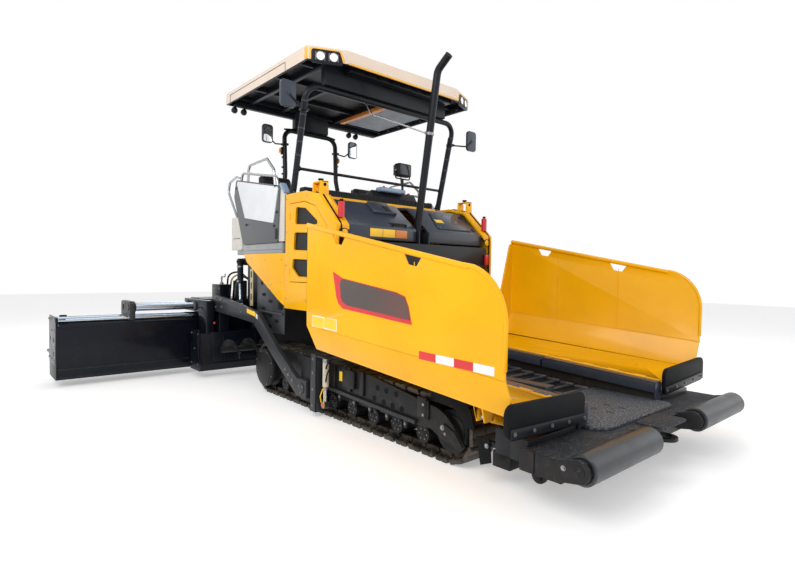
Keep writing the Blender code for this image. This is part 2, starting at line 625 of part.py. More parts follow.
def make_side_covers():
    inner = HOOD_HALF
    skin = 0.04
    front = BULKHEAD_Y + 0.01
    outline = [(front, COVER_BOTTOM_Z), (front, 2.09), (1.96, 2.44), (2.25, COVER_TOP_Z), (COVER_REAR, COVER_TOP_Z),
               (COVER_REAR, COVER_BOTTOM_Z)]
    shell = prism(outline, "X", -COVER_OUTER, -inner)
    room = prism([(front - 0.1, COVER_BOTTOM_Z - 0.1), (front - 0.1, 1.94), (front + skin, 2.07), (1.98, 2.40),
                  (2.26, COVER_TOP_Z - skin), (COVER_REAR - skin, COVER_TOP_Z - skin),
                  (COVER_REAR - skin, COVER_BOTTOM_Z - 0.1)], "X", -COVER_OUTER + skin, -inner + 0.1)
    door_front = 1.78
    door_rear = 2.58
    door_low = 1.45
    door_outline = [(door_front, door_low), (door_front, 2.08), (2.02, 2.31), (2.25, 2.38), (door_rear, 2.38),
                    (door_rear, door_low)]
    centre = Vector(((door_front + door_rear) / 2, 1.92))
    opening = prism(door_outline, "X", -COVER_OUTER - 0.1, -COVER_OUTER + 0.1)
    lugs = [block((-COVER_OUTER + 0.02, -COVER_OUTER + 0.13), (y, y + 0.02), (2.36, 2.56)) for y in (1.95, 2.10)]
    pair(weld(cut(shell, room, opening), *lugs), "side_cover", yellow)
    shrunk = []
    for y, z in door_outline:
        away = Vector((y, z)) - centre
        shrunk.append((y - math.copysign(RUNNING, away.x), z - math.copysign(RUNNING, away.y)))
    door = prism(shrunk, "X", -COVER_OUTER, -COVER_OUTER + 0.03)
    hinges = [block((-COVER_OUTER, -COVER_OUTER + 0.012), (door_rear - RUNNING - 0.01, door_rear - SEAT), (z, z + 0.06))
              for z in (door_low + 0.10, 2.20)]
    pair(weld(door, *hinges), "engine_door", yellow, (-COVER_OUTER, door_rear, 0.0))


def make_exhaust():
    foot = 1.93 + SEAT
    points = [(0.0, 1.735, foot), (0.0, 1.735, foot + 0.10), (0.0, 1.42, 3.95), (0.0, 1.24, 4.08)]
    finish(pipe(points, 0.045, 0.10), "exhaust_stack", dark)


def make_deck():
    right = [(-DECK_HALF, DECK_FRONT), (-DECK_HALF, DECK_STEP_Y), (-DECK_NECK, DECK_STEP_Y), (-DECK_NECK, DECK_REAR)]
    plan = right + [(-x, y) for x, y in reversed(right)]
    deck = prism(plan, "Z", DECK_Z - DECK_DEPTH + SEAT, DECK_Z)
    finish(deck, "operator_platform", zinc)
    low = DECK_Z - DECK_DEPTH
    skirt = prism([(COVER_REAR + SEAT, 1.16), (COVER_REAR + SEAT, low), (3.84, low), (3.75, 1.69), (2.85, 1.22)],
                  "X", -COVER_OUTER, -COVER_OUTER + 0.03)
    web = block((-COVER_OUTER + 0.02, -BODY_HALF - SEAT), (3.30, 3.34), (1.60, low))
    panel = block((-COVER_OUTER + 0.035, -COVER_OUTER + 0.055), (2.76, 3.50), (0.80, 1.52))
    bracket = block((-COVER_OUTER + 0.05, -BODY_HALF - SEAT), (2.90, 3.20), (1.25, 1.50))
    neck = block((-COVER_OUTER + 0.02, -COVER_OUTER + 0.05), (2.90, 3.20), (1.36, 1.50))
    pair(weld(skirt, web, panel, bracket, neck), "side_skirt", yellow)


def make_side_walls():
    x = DECK_HALF + 0.02
    foot = DECK_Z + SEAT
    wall = prism([(2.84, foot), (2.80, 2.62), (4.08, 2.84), (4.14, 2.60), (3.84, foot)], "X", -x, -x + 0.10)
    rail = pipe([(-x + 0.05, 4.06, 2.60), (-x + 0.05, 3.98, 2.93), (-x + 0.05, 2.98, 2.76), (-x + 0.05, 2.92, 2.58)],
                0.018, 0.08)
    hoop = pipe([(-x + 0.05, 3.80, 2.70), (-x + 0.05, 3.78, 3.00), (-x + 0.05, 3.25, 3.02), (-x + 0.05, 3.05, 2.85),
                 (-x + 0.05, 3.00, 2.60)], 0.018, 0.08)
    pair(weld(wall, rail, hoop), "side_wall", white)


def make_seats():
    base = block((-1.00, -0.60), (3.45, 3.85), (DECK_Z + SEAT, 2.20))
    cushion = block((-1.05, -0.55), (3.30, 3.86), (2.19, 2.38))
    back = prism([(3.74, 2.30), (3.88, 2.92), (3.96, 2.92), (3.88, 2.25)], "X", -1.04, -0.56)
    pair(weld(base, cushion, back), "seat", seat_black)


def make_console():
    desk = prism([(2.86, DECK_Z + SEAT), (2.86, 2.64), (2.94, 2.76), (3.24, 2.64), (3.12, DECK_Z + SEAT)],
                 "X", 0.22, 1.05)
    finish(desk, "control_console", seat_black)


def mirror_parts(x, y, z, stem, width, height):
    """A mirror's housing and the arm that holds it, on both sides."""
    parts = []
    for side in (-1, 1):
        parts.append(block(sorted((side * (x - width / 2), side * (x + width / 2))), (y - 0.02, y + 0.02),
                           (z - height / 2, z + height / 2)))
        parts.append(rod((side * stem[0], stem[1], stem[2]), (side * x, y, z), 0.012, 8))
    return parts


def foot_plate(x, y, z):
    return block((x - 0.06, x + 0.06), (y - 0.07, y + 0.07), (z, z + 0.015))


def make_hoops():
    foot = COVER_TOP_Z + SEAT
    half = FRONT_HOOP_HALF
    front_y = 2.31
    foot_y = 2.60
    front = pipe([(-half, foot_y, foot + 0.008), (-half, front_y, HOOP_TOP_Z), (half, front_y, HOOP_TOP_Z),
                  (half, foot_y, foot + 0.008)], HOOP_RADIUS, 0.16)
    rail_z = 2.80
    rail_y = lerp(foot_y, front_y, (rail_z - foot) / (HOOP_TOP_Z - foot))
    rail = rod((-half, rail_y, rail_z), (half, rail_y, rail_z), 0.025, 12)
    feet = [foot_plate(side * (half - 0.02), foot_y, foot) for side in (-1, 1)]
    mirrors = mirror_parts(1.51, 2.22, 3.53, (half, 2.36, 3.45), 0.19, 0.29)
    finish(weld(front, rail, *feet, *mirrors), "front_hoop", dark)
    foot = DECK_Z + SEAT
    half = REAR_HOOP_HALF
    rear = pipe([(-half - 0.16, 4.05, foot + 0.008), (-half, 4.20, 3.05), (-half, 4.24, HOOP_TOP_Z),
                 (half, 4.24, HOOP_TOP_Z), (half, 4.20, 3.05), (half + 0.16, 4.05, foot + 0.008)], HOOP_RADIUS, 0.14)
    feet = [foot_plate(side * (half + 0.16), 4.05, foot) for side in (-1, 1)]
    mirrors = mirror_parts(0.77, 4.18, 3.60, (half, 4.22, 3.50), 0.17, 0.27)
    finish(weld(rear, *feet, *mirrors), "rear_hoop", dark)


def canopy_plan(inset):
    half = CANOPY_HALF - inset
    nose = 0.90 - inset * 0.4
    right = [(-half, CANOPY_REAR - inset), (-half, CANOPY_CORNER + inset), (-nose, CANOPY_FRONT + inset)]
    return right + [(-x, y) for x, y in reversed(right)]


def make_canopy():
    tray = prism(canopy_plan(0.0), "Z", CANOPY_BOTTOM, CANOPY_TOP)
    hollow = prism(canopy_plan(CANOPY_SKIN), "Z", CANOPY_BOTTOM - 0.1, CANOPY_TOP - CANOPY_SKIN)
    low = HOOP_TOP_Z + HOOP_RADIUS + SEAT
    high = CANOPY_TOP - CANOPY_SKIN + 0.01
    beams = [block((-1.00, 1.00), (2.26, 2.36), (low, high)), block((-0.30, 0.30), (4.19, 4.29), (low, high))]
    finish(weld(cut(tray, hollow), *beams), "canopy", amber)


# ---- screed and tow arms -------------------------------------------------------------------------
def make_tow_posts():
    """Guide plate with the tow arm's pin, and the levelling cylinder in front of it."""
    inner = TRACK_OUTER + SEAT + GUARD_PLATE + SEAT
    plate = block((-ARM_INNER + SEAT, -inner), (2.02, 2.24), (0.12, 0.62))
    pin = rod((-ARM_INNER - ARM_PLATE - 0.01, TOW_Y, TOW_Z), (-ARM_INNER + 0.02, TOW_Y, TOW_Z), TOW_PIN, 16)
    x = -inner - 0.035
    ram = rod((x, 1.93, 0.58), (x, 1.93, 0.14), 0.034, 12)
    ties = [block((x - 0.02, x + 0.02), (1.93, 2.03), (z, z + 0.04)) for z in (0.16, 0.52)]
    pair(weld(plate, pin, ram, *ties), "tow_post", frame_grey)


def make_tow_arms():
    arm_rear = SCREED_FRONT + 0.20
    outline = [(2.03, 0.17), (2.03, 0.37), (2.24, 0.37), (2.70, 0.64), (3.25, 1.05), (arm_rear, 1.22), (arm_rear, 0.97),
               (3.37, 0.90), (2.83, 0.54), (2.24, 0.17)]
    arm = prism(outline, "X", -ARM_INNER - ARM_PLATE, -ARM_INNER)
    bore = rod((-ARM_INNER - 0.2, TOW_Y, TOW_Z), (-ARM_INNER + 0.1, TOW_Y, TOW_Z), hole_radius(TOW_PIN), 16)
    y, z = LIFT_EYE
    pin = rod((-ARM_INNER - 0.01, y, z), (-LIFT_X + 0.03, y, z), 0.015, 12)
    pair(weld(cut(arm, bore), pin), "tow_arm", frame_grey, (0.0, TOW_Y, TOW_Z))


def tube_places():
    """y of the front and the rear guide tube."""
    front = EXTENSION_FRONT + TUBE_INSET
    rear = EXTENSION_FRONT + EXTENSION_DEPTH - TUBE_INSET
    return (front, rear)


def make_screed():
    """Basic screed: heated box with its deflector, towers to the tow arms, and the tubes' housing."""
    rear = SCREED_FRONT + SCREED_DEPTH
    heated = prism([(SCREED_FRONT + 0.05, SCREED_BOTTOM), (SCREED_FRONT, 0.20), (SCREED_FRONT + 0.08, SCREED_TOP),
                    (rear, SCREED_TOP), (rear, SCREED_BOTTOM)], "X", -SCREED_HALF, SCREED_HALF)
    parts = []
    tower_outer = ARM_INNER - SEAT
    for side in (-1, 1):
        x = sorted((side * tower_outer, side * (tower_outer - 0.14)))
        parts.append(block(x, (SCREED_FRONT + 0.10, rear - 0.02), (SCREED_TOP - 0.02, TOWER_TOP)))
    housing_low = LOWER_TUBE_Z + LOWER_TUBE_RADIUS + 0.03
    housing = block((-HOUSING_HALF, HOUSING_HALF), (rear - 0.10, EXTENSION_FRONT + EXTENSION_DEPTH),
                    (housing_low, HOUSING_TOP))
    parts.append(housing)
    parts.append(block((-1.30, 1.30), (rear - 0.10, rear), (SCREED_TOP - 0.02, housing_low + 0.02)))
    for side in (-1, 1):
        end_box = sorted((side * (ARM_INNER + ARM_PLATE + 0.02), side * HOUSING_HALF))
        parts.append(block(end_box, (SCREED_FRONT + 0.10, rear), (SCREED_TOP - 0.02, HOUSING_TOP)))
    screed = weld(heated, *parts)
    bores = []
    for y in tube_places():
        bores.append(rod((-SCREED_HALF, y, UPPER_TUBE_Z), (SCREED_HALF, y, UPPER_TUBE_Z), UPPER_TUBE_RADIUS + SEAT, 16))
    finish(cut(screed, *bores), "screed_frame", dark, (0.0, TOW_Y, TOW_Z))


def make_extensions():
    """Sliding carriages with their upper tubes, and extensions with their lower tubes."""
    inner = EXTENSION_OUTER - EXTENSION_LENGTH
    rear = EXTENSION_FRONT + EXTENSION_DEPTH
    body = prism([(EXTENSION_FRONT + 0.04, SCREED_BOTTOM), (EXTENSION_FRONT, 0.22), (EXTENSION_FRONT, EXTENSION_TOP),
                  (rear, EXTENSION_TOP - 0.06), (rear, SCREED_BOTTOM)], "X", -EXTENSION_OUTER, -inner)
    plate_top = LOWER_TUBE_Z + LOWER_TUBE_RADIUS + 0.015
    parts = []
    for x in (EXTENSION_OUTER, inner):
        low = min(x, EXTENSION_OUTER) - EXTENSION_PLATE
        parts.append(block((-low - EXTENSION_PLATE, -low), (EXTENSION_FRONT + 0.02, rear - 0.02), (0.3, plate_top)))
    for y in tube_places():
        parts.append(rod((-EXTENSION_OUTER + 0.01, y, LOWER_TUBE_Z), (-inner + 0.01, y, LOWER_TUBE_Z),
                         LOWER_TUBE_RADIUS, 16))
    parts.append(block((-EXTENSION_OUTER, -inner), (rear - 0.01, rear + STEP_DEPTH), (STEP_Z - 0.03, STEP_Z)))
    pair(weld(body, *parts), "extension", dark)
    bridge = block((-BRIDGE_X - BRIDGE_HALF, -BRIDGE_X + BRIDGE_HALF), (EXTENSION_FRONT + 0.03, rear - 0.03),
                   (EXTENSION_TOP + 0.012, UPPER_TUBE_Z + UPPER_TUBE_RADIUS + 0.04))
    tubes = []
    bores = []
    for y in tube_places():
        tubes.append(rod((-BRIDGE_X - 0.01, y, UPPER_TUBE_Z), (-1.25, y, UPPER_TUBE_Z), UPPER_TUBE_RADIUS, 16))
        bores.append(rod((-BRIDGE_X - 0.1, y, LOWER_TUBE_Z), (-BRIDGE_X + 0.1, y, LOWER_TUBE_Z),
                         LOWER_TUBE_RADIUS + SEAT, 16))
    pair(cut(weld(bridge, *tubes), *bores), "extension_bridge", zinc)


def make_augers():
    neck = block((-0.09, 0.09), (FRAME_REAR + SEAT, AUGER_Y + 0.06), (0.92, TUNNEL_Z))
    case = block((-0.07, 0.07), (AUGER_Y - 0.08, AUGER_Y + 0.06), (AUGER_Z - 0.12, 0.94))
    finish(weld(case, neck), "auger_case", frame_grey)
    shaft = rod((-AUGER_OUTER, AUGER_Y, AUGER_Z), (-0.07 - SEAT, AUGER_Y, AUGER_Z), 0.04, 12)
    discs = []
    for index in range(5):
        x = -AUGER_OUTER + 0.05 + index * 0.28
        discs.append(rod((x, AUGER_Y, AUGER_Z), (x + 0.02, AUGER_Y, AUGER_Z), AUGER_RADIUS, 20))
    pair(weld(shaft, *discs), "auger", dark, (0.0, AUGER_Y, AUGER_Z))


def make_lift_cylinders():
    top = Vector((-LIFT_X, *LIFT_TOP))
    eye = Vector((-LIFT_X, *LIFT_EYE))
    hung = (eye - top).length
    barrel, piston = ram(top, eye, Vector((0.035, 0.0, 0.0)), hung - 0.26, hung - 0.315, 0.165,
                         (0.042, 0.022, 0.045, 0.044), 0.02)
    pair(barrel, "lift_cylinder", dark, tuple(top))
    hole = rod(eye - Vector((0.1, 0.0, 0.0)), eye + Vector((0.1, 0.0, 0.0)), LIFT_EYE_HOLE, 12)
    pair(cut(piston, hole), "lift_rod", chrome, tuple(top))


make_tracks()
make_track_frames()
make_main_frame()
make_tractor_body()
make_hopper_wings()
make_wing_cylinders()
make_front_beam()
make_hood()
make_side_covers()
make_exhaust()
make_deck()
make_side_walls()
make_seats()
make_console()
make_hoops()
make_canopy()
make_tow_posts()
make_tow_arms()
make_screed()
make_extensions()
make_augers()
make_lift_cylinders()
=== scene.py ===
# Looks of the tracked asphalt paver: finishes, tracks, covers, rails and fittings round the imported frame.
import json
import math

import bmesh
import bpy
from mathutils import Matrix, Vector

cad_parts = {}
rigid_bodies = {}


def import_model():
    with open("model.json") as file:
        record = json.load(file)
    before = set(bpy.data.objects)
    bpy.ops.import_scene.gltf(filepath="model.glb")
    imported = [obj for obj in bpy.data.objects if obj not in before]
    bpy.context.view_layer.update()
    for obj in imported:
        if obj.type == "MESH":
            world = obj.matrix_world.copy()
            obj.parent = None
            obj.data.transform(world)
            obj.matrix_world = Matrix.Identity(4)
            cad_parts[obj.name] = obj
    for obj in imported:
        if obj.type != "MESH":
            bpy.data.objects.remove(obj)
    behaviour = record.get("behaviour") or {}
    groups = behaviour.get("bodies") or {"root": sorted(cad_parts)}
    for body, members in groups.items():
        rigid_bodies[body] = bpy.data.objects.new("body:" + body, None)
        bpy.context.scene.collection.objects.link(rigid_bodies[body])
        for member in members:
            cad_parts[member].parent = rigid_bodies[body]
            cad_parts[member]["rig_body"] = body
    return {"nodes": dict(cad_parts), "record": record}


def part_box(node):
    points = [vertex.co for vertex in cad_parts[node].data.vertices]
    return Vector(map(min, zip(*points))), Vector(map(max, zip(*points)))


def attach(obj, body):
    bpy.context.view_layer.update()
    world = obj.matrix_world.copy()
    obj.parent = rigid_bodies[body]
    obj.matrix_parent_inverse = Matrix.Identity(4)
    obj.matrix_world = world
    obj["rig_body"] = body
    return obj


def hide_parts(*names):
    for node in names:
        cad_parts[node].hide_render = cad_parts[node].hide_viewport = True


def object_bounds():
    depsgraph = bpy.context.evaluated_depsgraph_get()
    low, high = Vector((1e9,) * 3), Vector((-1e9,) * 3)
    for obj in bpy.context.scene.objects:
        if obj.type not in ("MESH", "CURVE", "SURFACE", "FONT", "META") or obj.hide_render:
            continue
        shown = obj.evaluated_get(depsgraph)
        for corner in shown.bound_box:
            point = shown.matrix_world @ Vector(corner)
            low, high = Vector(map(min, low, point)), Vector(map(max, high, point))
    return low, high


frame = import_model()
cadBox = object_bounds()
cadNodes = frame["nodes"]
print("frame loaded:", len(cadNodes), "nodes")

sides = {"right": -1, "left": 1}


# A socket that can be written into expressions: each operator adds its Math node.
class Value:
    def __init__(self, graph, socket):
        self.graph = graph
        self.socket = socket

    def math(self, operation, *others):
        return self.graph.add("ShaderNodeMath", {"operation": operation},
            {0: self, **dict(enumerate(others, 1))})

    def __add__(self, other):
        return self.math("ADD", other)

    def __radd__(self, other):
        return self.math("ADD", other)

    def __sub__(self, other):
        return self.math("SUBTRACT", other)

    def __rsub__(self, other):
        return self.graph.add("ShaderNodeMath", {"operation": "SUBTRACT"}, {0: other, 1: self})

    def __mul__(self, other):
        return self.math("MULTIPLY", other)

    def __rmul__(self, other):
        return self.math("MULTIPLY", other)

    def __truediv__(self, other):
        return self.math("DIVIDE", other)

    def __lt__(self, other):
        return self.math("LESS_THAN", other)

    def __gt__(self, other):
        return self.math("GREATER_THAN", other)


class Graph:
    def __init__(self, name):
        self.material = bpy.data.materials.new(name)
        self.material.use_nodes = True
        self.tree = self.material.node_tree
        self.shader = self.tree.nodes["Principled BSDF"]
        self.place = self.add("ShaderNodeTexCoord", out="Object")

    def add(self, kind, settings=None, inputs=None, out=0):
        node = self.tree.nodes.new(kind)
        for key, value in (settings or {}).items():
            setattr(node, key, value)
        for key, value in (inputs or {}).items():
            self.plug(node.inputs[key], value)
        return Value(self, node.outputs[out])

    def plug(self, socket, value):
        if isinstance(value, Value):
            self.tree.links.new(value.socket, socket)
        elif isinstance(value, (tuple, list)) and len(value) == 3 and socket.type == "RGBA":
            socket.default_value = (*value, 1.0)
        else:
            socket.default_value = value

    def set(self, **inputs):
        # shader inputs, with underscores for the spaces in their names
        for key, value in inputs.items():
            self.plug(self.shader.inputs[key.replace("_", " ").title().replace("Ior", "IOR")], value)
        return self

    def noise(self, scale, detail=4.0, rough=0.55, stretch=None):
        place = self.place
        if stretch:
            place = self.add("ShaderNodeMapping", {}, {"Vector": place, "Scale": stretch})
        return self.add("ShaderNodeTexNoise", {}, {"Vector": place, "Scale": scale, "Detail": detail,
            "Roughness": rough})

    def soft(self, value, low, high):
        return self.add("ShaderNodeMapRange", {"interpolation_type": "SMOOTHSTEP"},
            {"Value": value, "From Min": low, "From Max": high})

    def mix(self, share, first, second):
        return self.add("ShaderNodeMix", {"data_type": "RGBA"}, {0: share, 6: first, 7: second}, 2)

    def bump(self, height, strength=0.2, distance=0.002):
        self.set(normal=self.add("ShaderNodeBump", {}, {"Height": height, "Strength": strength,
            "Distance": distance}))
        return self

    def axes(self):
        split = self.add("ShaderNodeSeparateXYZ", {}, {0: self.place})
        node = split.socket.node
        return [Value(self, node.outputs[index]) for index in range(3)]


def shade(colour, factor):
    return tuple(min(1.0, part * factor) for part in colour)


def paint(name, colour, rough=0.3, coat=0.5, dust=0.25, peel=0.05, sheen=0.5):
    # sprayed paint: slight tone drift, orange peel, and dust that dulls it, most near the ground
    g = Graph(name)
    drift = g.soft(g.noise(1.3, 3.0), 0.3, 0.7)
    tone = g.mix(drift, shade(colour, 0.93), shade(colour, 1.05))
    spots = g.soft(g.noise(9.0, 6.0, 0.7), 0.45, 0.75)
    height = g.axes()[2]
    low = g.soft(height, 1.3, 0.1)
    grime = spots * (low * dust + dust * 0.12)
    g.set(base_color=g.mix(grime, tone, (0.19, 0.16, 0.12)))
    g.set(roughness=grime * 0.5 + (g.noise(38.0, 2.0) * 0.08 + (rough - 0.04)),
        coat_weight=coat - grime * coat)
    g.set(coat_roughness=0.08, specular_ior_level=sheen)
    return g.bump(g.noise(420.0, 2.0), peel, 0.0006).material


def steel(name, colour, rough=0.35, metallic=1.0, wear=0.2, stretch=(1.0, 1.0, 1.0)):
    g = Graph(name)
    streaks = g.noise(60.0, 5.0, 0.6, stretch)
    patches = g.soft(g.noise(6.0, 5.0, 0.65), 0.4, 0.7)
    g.set(base_color=g.mix(patches * wear, colour, shade(colour, 0.45)), metallic=metallic)
    g.set(roughness=streaks * 0.16 + patches * (wear * 0.5) + (rough - 0.08))
    return g.bump(streaks, 0.06, 0.0008).material


def grained(name, colour, rough=0.6, grain=240.0, depth=0.25, bright=1.5, sheen=0.3):
    # moulded plastic, rubber or vinyl, with a fine pebbled grain
    g = Graph(name)
    cells = g.add("ShaderNodeTexVoronoi", {}, {"Vector": g.place, "Scale": grain})
    tone = g.soft(g.noise(5.0, 4.0), 0.35, 0.7)
    g.set(base_color=g.mix(tone, colour, shade(colour, bright)),
        roughness=g.noise(70.0) * 0.16 + (rough - 0.08), specular_ior_level=sheen)
    return g.bump(cells, depth, 0.0008).material


def badgePlate():
    # blank dark plate with a fine dotted sheen towards its front
    g = Graph("badgePlate")
    y = g.axes()[1]
    cells = g.add("ShaderNodeTexVoronoi", {}, {"Vector": g.place, "Scale": 60.0})
    dots = g.soft(cells, 0.25, 0.42) * g.soft(y, -1.6, -2.2)
    g.set(base_color=g.mix(dots * 0.6, (0.055, 0.038, 0.032), (0.16, 0.04, 0.03)),
        roughness=dots * 0.15 + 0.3)
    g.set(coat_weight=0.4)
    return g.material


def trackSteel(name="trackSteel", colour=(0.030, 0.026, 0.022), metallic=0.75):
    g = Graph(name)
    mud = g.soft(g.noise(7.0, 7.0, 0.7), 0.42, 0.66)
    rust = g.soft(g.noise(23.0, 5.0, 0.6), 0.5, 0.7)
    tone = g.mix(rust, colour, (0.075, 0.050, 0.032))
    g.set(base_color=g.mix(mud * 0.6, tone, (0.11, 0.09, 0.065)),
        metallic=metallic - mud * (metallic * 0.8))
    g.set(roughness=mud * 0.3 + rust * 0.12 + 0.42)
    return g.bump(g.noise(55.0, 6.0, 0.65), 0.35, 0.003).material


def treadPlate(name, colour, rough=0.45):
    # five-bar style raised lozenges on a dark, slightly worn plate
    g = Graph(name)
    x, y = g.axes()[:2]
    size = 0.042
    first = ((x + y) / size).math("FRACT")
    second = ((x - y) / size).math("FRACT")
    bar = first.math("SUBTRACT", 0.5).math("ABSOLUTE")
    other = second.math("SUBTRACT", 0.5).math("ABSOLUTE")
    swap = (((x + y) / size).math("FLOOR") + ((x - y) / size).math("FLOOR")).math("PINGPONG", 1.0)
    lozengeA = (bar < 0.13) * (other < 0.38)
    lozengeB = (other < 0.13) * (bar < 0.38)
    raised = lozengeA * swap + lozengeB * (1.0 - swap)
    wear = g.soft(g.noise(5.0, 5.0, 0.7), 0.4, 0.65)
    g.set(base_color=g.mix(raised * wear * 0.7, colour, shade(colour, 3.0)), metallic=0.55)
    g.set(roughness=wear * 0.2 + (rough - 0.1))
    return g.bump(raised + g.noise(90.0, 3.0) * 0.12, 0.8, 0.0025).material


def perforated(name, colour, pitch=0.014, hole=0.34):
    # staggered round holes in sheet metal, painted near-black where they open as the shade seen through them
    g = Graph(name)
    y, z = g.axes()[1:]
    row = (z / (pitch * 0.866)).math("FLOOR")
    along = ((y + row.math("PINGPONG", 1.0) * (pitch / 2)) / pitch).math("FRACT") - 0.5
    up = (z / (pitch * 0.866)).math("FRACT") - 0.5
    far = (along * along + up * up * 0.75).math("SQRT")
    paintedHoleShade = 1.0 - g.soft(far, hole - 0.06, hole + 0.04)
    g.set(base_color=g.mix(paintedHoleShade, colour, (0.004, 0.004, 0.005)), roughness=paintedHoleShade * 0.4 + 0.35,
          metallic=0.5 - paintedHoleShade * 0.5)
    return g.bump(1.0 - paintedHoleShade, 0.7, 0.002).material


def gritCoat(name, colour):
    # anti-slip coat: coarse bright specks on a dark ground
    g = Graph(name)
    specks = g.soft(g.noise(70.0, 5.0, 0.75), 0.47, 0.62)
    patches = g.soft(g.noise(3.0, 4.0, 0.6), 0.3, 0.7)
    g.set(base_color=g.mix(specks * 0.8, shade(colour, 0.45), shade(colour, 2.6)), specular_ior_level=0.25)
    g.set(roughness=patches * 0.15 + 0.55)
    return g.bump(specks, 0.5, 0.002).material


def lens(name, tint, glow):
    # clear cover with facets behind it
    g = Graph(name)
    cells = g.add("ShaderNodeTexVoronoi", {}, {"Vector": g.place, "Scale": 45.0})
    g.set(base_color=g.mix(g.soft(cells, 0.2, 0.8), tint, shade(tint, 0.6)), roughness=0.06,
        coat_weight=1.0)
    g.set(emission_color=g.mix(g.soft(cells, 0.1, 0.6), tint, shade(tint, 0.4)), emission_strength=glow)
    return g.bump(cells, 0.3, 0.003).material


def glassPane(name, tint):
    g = Graph(name)
    smear = g.soft(g.noise(4.0, 3.0), 0.35, 0.75)
    g.set(base_color=g.mix(smear, tint, shade(tint, 1.15)), metallic=0.9, roughness=smear * 0.05 + 0.02)
    return g.material


def conveyorSteel():
    g = Graph("conveyorSteel")
    scrape = g.noise(30.0, 5.0, 0.6, (1.0, 0.08, 1.0))
    tar = g.soft(g.noise(4.0, 6.0, 0.7), 0.45, 0.65)
    g.set(base_color=g.mix(tar * 0.8, (0.20, 0.20, 0.21), (0.02, 0.019, 0.018)), metallic=0.8 - tar * 0.5)
    g.set(roughness=scrape * 0.25 + tar * 0.2 + 0.25)
    return g.bump(scrape, 0.25, 0.002).material


finishes = {
    "yellow": paint("yellowPaint", (0.86, 0.415, 0.0), 0.25, 0.2, 0.05, 0.03, 0.2),
    "cream": paint("creamPaint", (0.70, 0.58, 0.47), 0.34, 0.3, 0.04),
    "canopyEdge": paint("canopyEdge", (0.80, 0.42, 0.05), 0.34, 0.3, 0.04),
    "hood": paint("hoodPaint", (0.028, 0.037, 0.056), 0.32, 0.22, 0.1, 0.05, 0.35),
    "dark": paint("darkPaint", (0.006, 0.008, 0.012), 0.38, 0.08, 0.08, 0.05, 0.22),
    "frame": paint("framePaint", (0.008, 0.0085, 0.010), 0.45, 0.06, 0.10, 0.05, 0.22),
    "screed": paint("screedPaint", (0.0035, 0.005, 0.010), 0.3, 0.1, 0.03, 0.05, 0.16),
    "orange": paint("orangePaint", (0.62, 0.20, 0.02), 0.4, 0.2, 0.05),
    "red": paint("redPaint", (0.58, 0.010, 0.018), 0.28, 0.4, 0.02),
    "grey": paint("greyPaint", (0.085, 0.090, 0.098), 0.42, 0.15, 0.15, 0.05, 0.3),
    "paleBlue": paint("paleBluePaint", (0.28, 0.38, 0.52), 0.35, 0.3, 0.05),
    "track": trackSteel(),
    "trackPad": trackSteel("trackPad", (0.017, 0.015, 0.013), 0.0),
    "badge": badgePlate(),
    "sleeve": grained("dustSleeve", (0.52, 0.47, 0.38), 0.6, 120.0, 0.4, 1.1),
    "armGrey": paint("armGrey", (0.024, 0.026, 0.030), 0.42, 0.1, 0.06, 0.05, 0.3),
    "beamGrey": paint("beamGrey", (0.26, 0.27, 0.28), 0.34, 0.3, 0.12),
    "beigeSteel": paint("beigeSteel", (0.42, 0.36, 0.20), 0.4, 0.2, 0.12),
    "screenGlass": grained("screenGlass", (0.012, 0.018, 0.026), 0.14, 30.0, 0.0, 1.3, 0.6),
    "rubber": grained("blackRubber", (0.0035, 0.0042, 0.005), 0.6, 190.0, 0.2, 1.5, 0.12),
    "vinyl": grained("seatVinyl", (0.009, 0.009, 0.011), 0.5, 420.0, 0.45),
    "plastic": grained("blackPlastic", (0.009, 0.010, 0.012), 0.45, 520.0, 0.25, 1.5, 0.25),
    "white": grained("whitePanel", (0.66, 0.68, 0.70), 0.32, 700.0, 0.03, 1.08, 0.4),
    "beige": grained("beigePanel", (0.55, 0.53, 0.48), 0.36, 700.0, 0.05, 1.1),
    "shade": grained("roofPanel", (0.24, 0.27, 0.30), 0.5, 90.0, 0.2, 1.2),
    "chrome": steel("chromedTube", (0.50, 0.58, 0.68), 0.16, 1.0, 0.10, (0.05, 1.0, 1.0)),
    "stainless": steel("stainlessTube", (0.50, 0.51, 0.53), 0.22, 1.0, 0.08),
    "zinc": steel("zincBolt", (0.33, 0.33, 0.34), 0.34, 1.0, 0.4),
    "brass": steel("brassFitting", (0.55, 0.36, 0.10), 0.3, 1.0, 0.3),
    "darkSteel": steel("darkSteel", (0.040, 0.040, 0.045), 0.38, 0.9, 0.5),
    "roller": steel("rollerSteel", (0.046, 0.050, 0.056), 0.36, 0.45, 0.12, (0.08, 1.0, 1.0)),
    "deck": treadPlate("deckPlate", (0.030, 0.032, 0.037)),
    "mesh": perforated("ventMesh", (0.022, 0.023, 0.025)),
    "conveyor": conveyorSteel(),
    "grit": gritCoat("gritCoat", (0.040, 0.043, 0.050)),
    "mat": gritCoat("rubberMat", (0.105, 0.112, 0.125)),
    "lamp": lens("lampGlass", (0.95, 0.97, 1.0), 1.2),
    "amberLens": lens("amberLens", (0.95, 0.30, 0.02), 0.25),
    "mirror": glassPane("mirrorGlass", (0.75, 0.79, 0.82)),
    "tapeRed": paint("tapeRed", (0.62, 0.015, 0.02), 0.4, 0.2, 0.02),
    "tapeWhite": paint("tapeWhite", (0.80, 0.80, 0.79), 0.4, 0.2, 0.02),
    "label": paint("labelYellow", (0.90, 0.56, 0.02), 0.45, 0.1, 0.02),
}
print("materials made:", len(finishes))


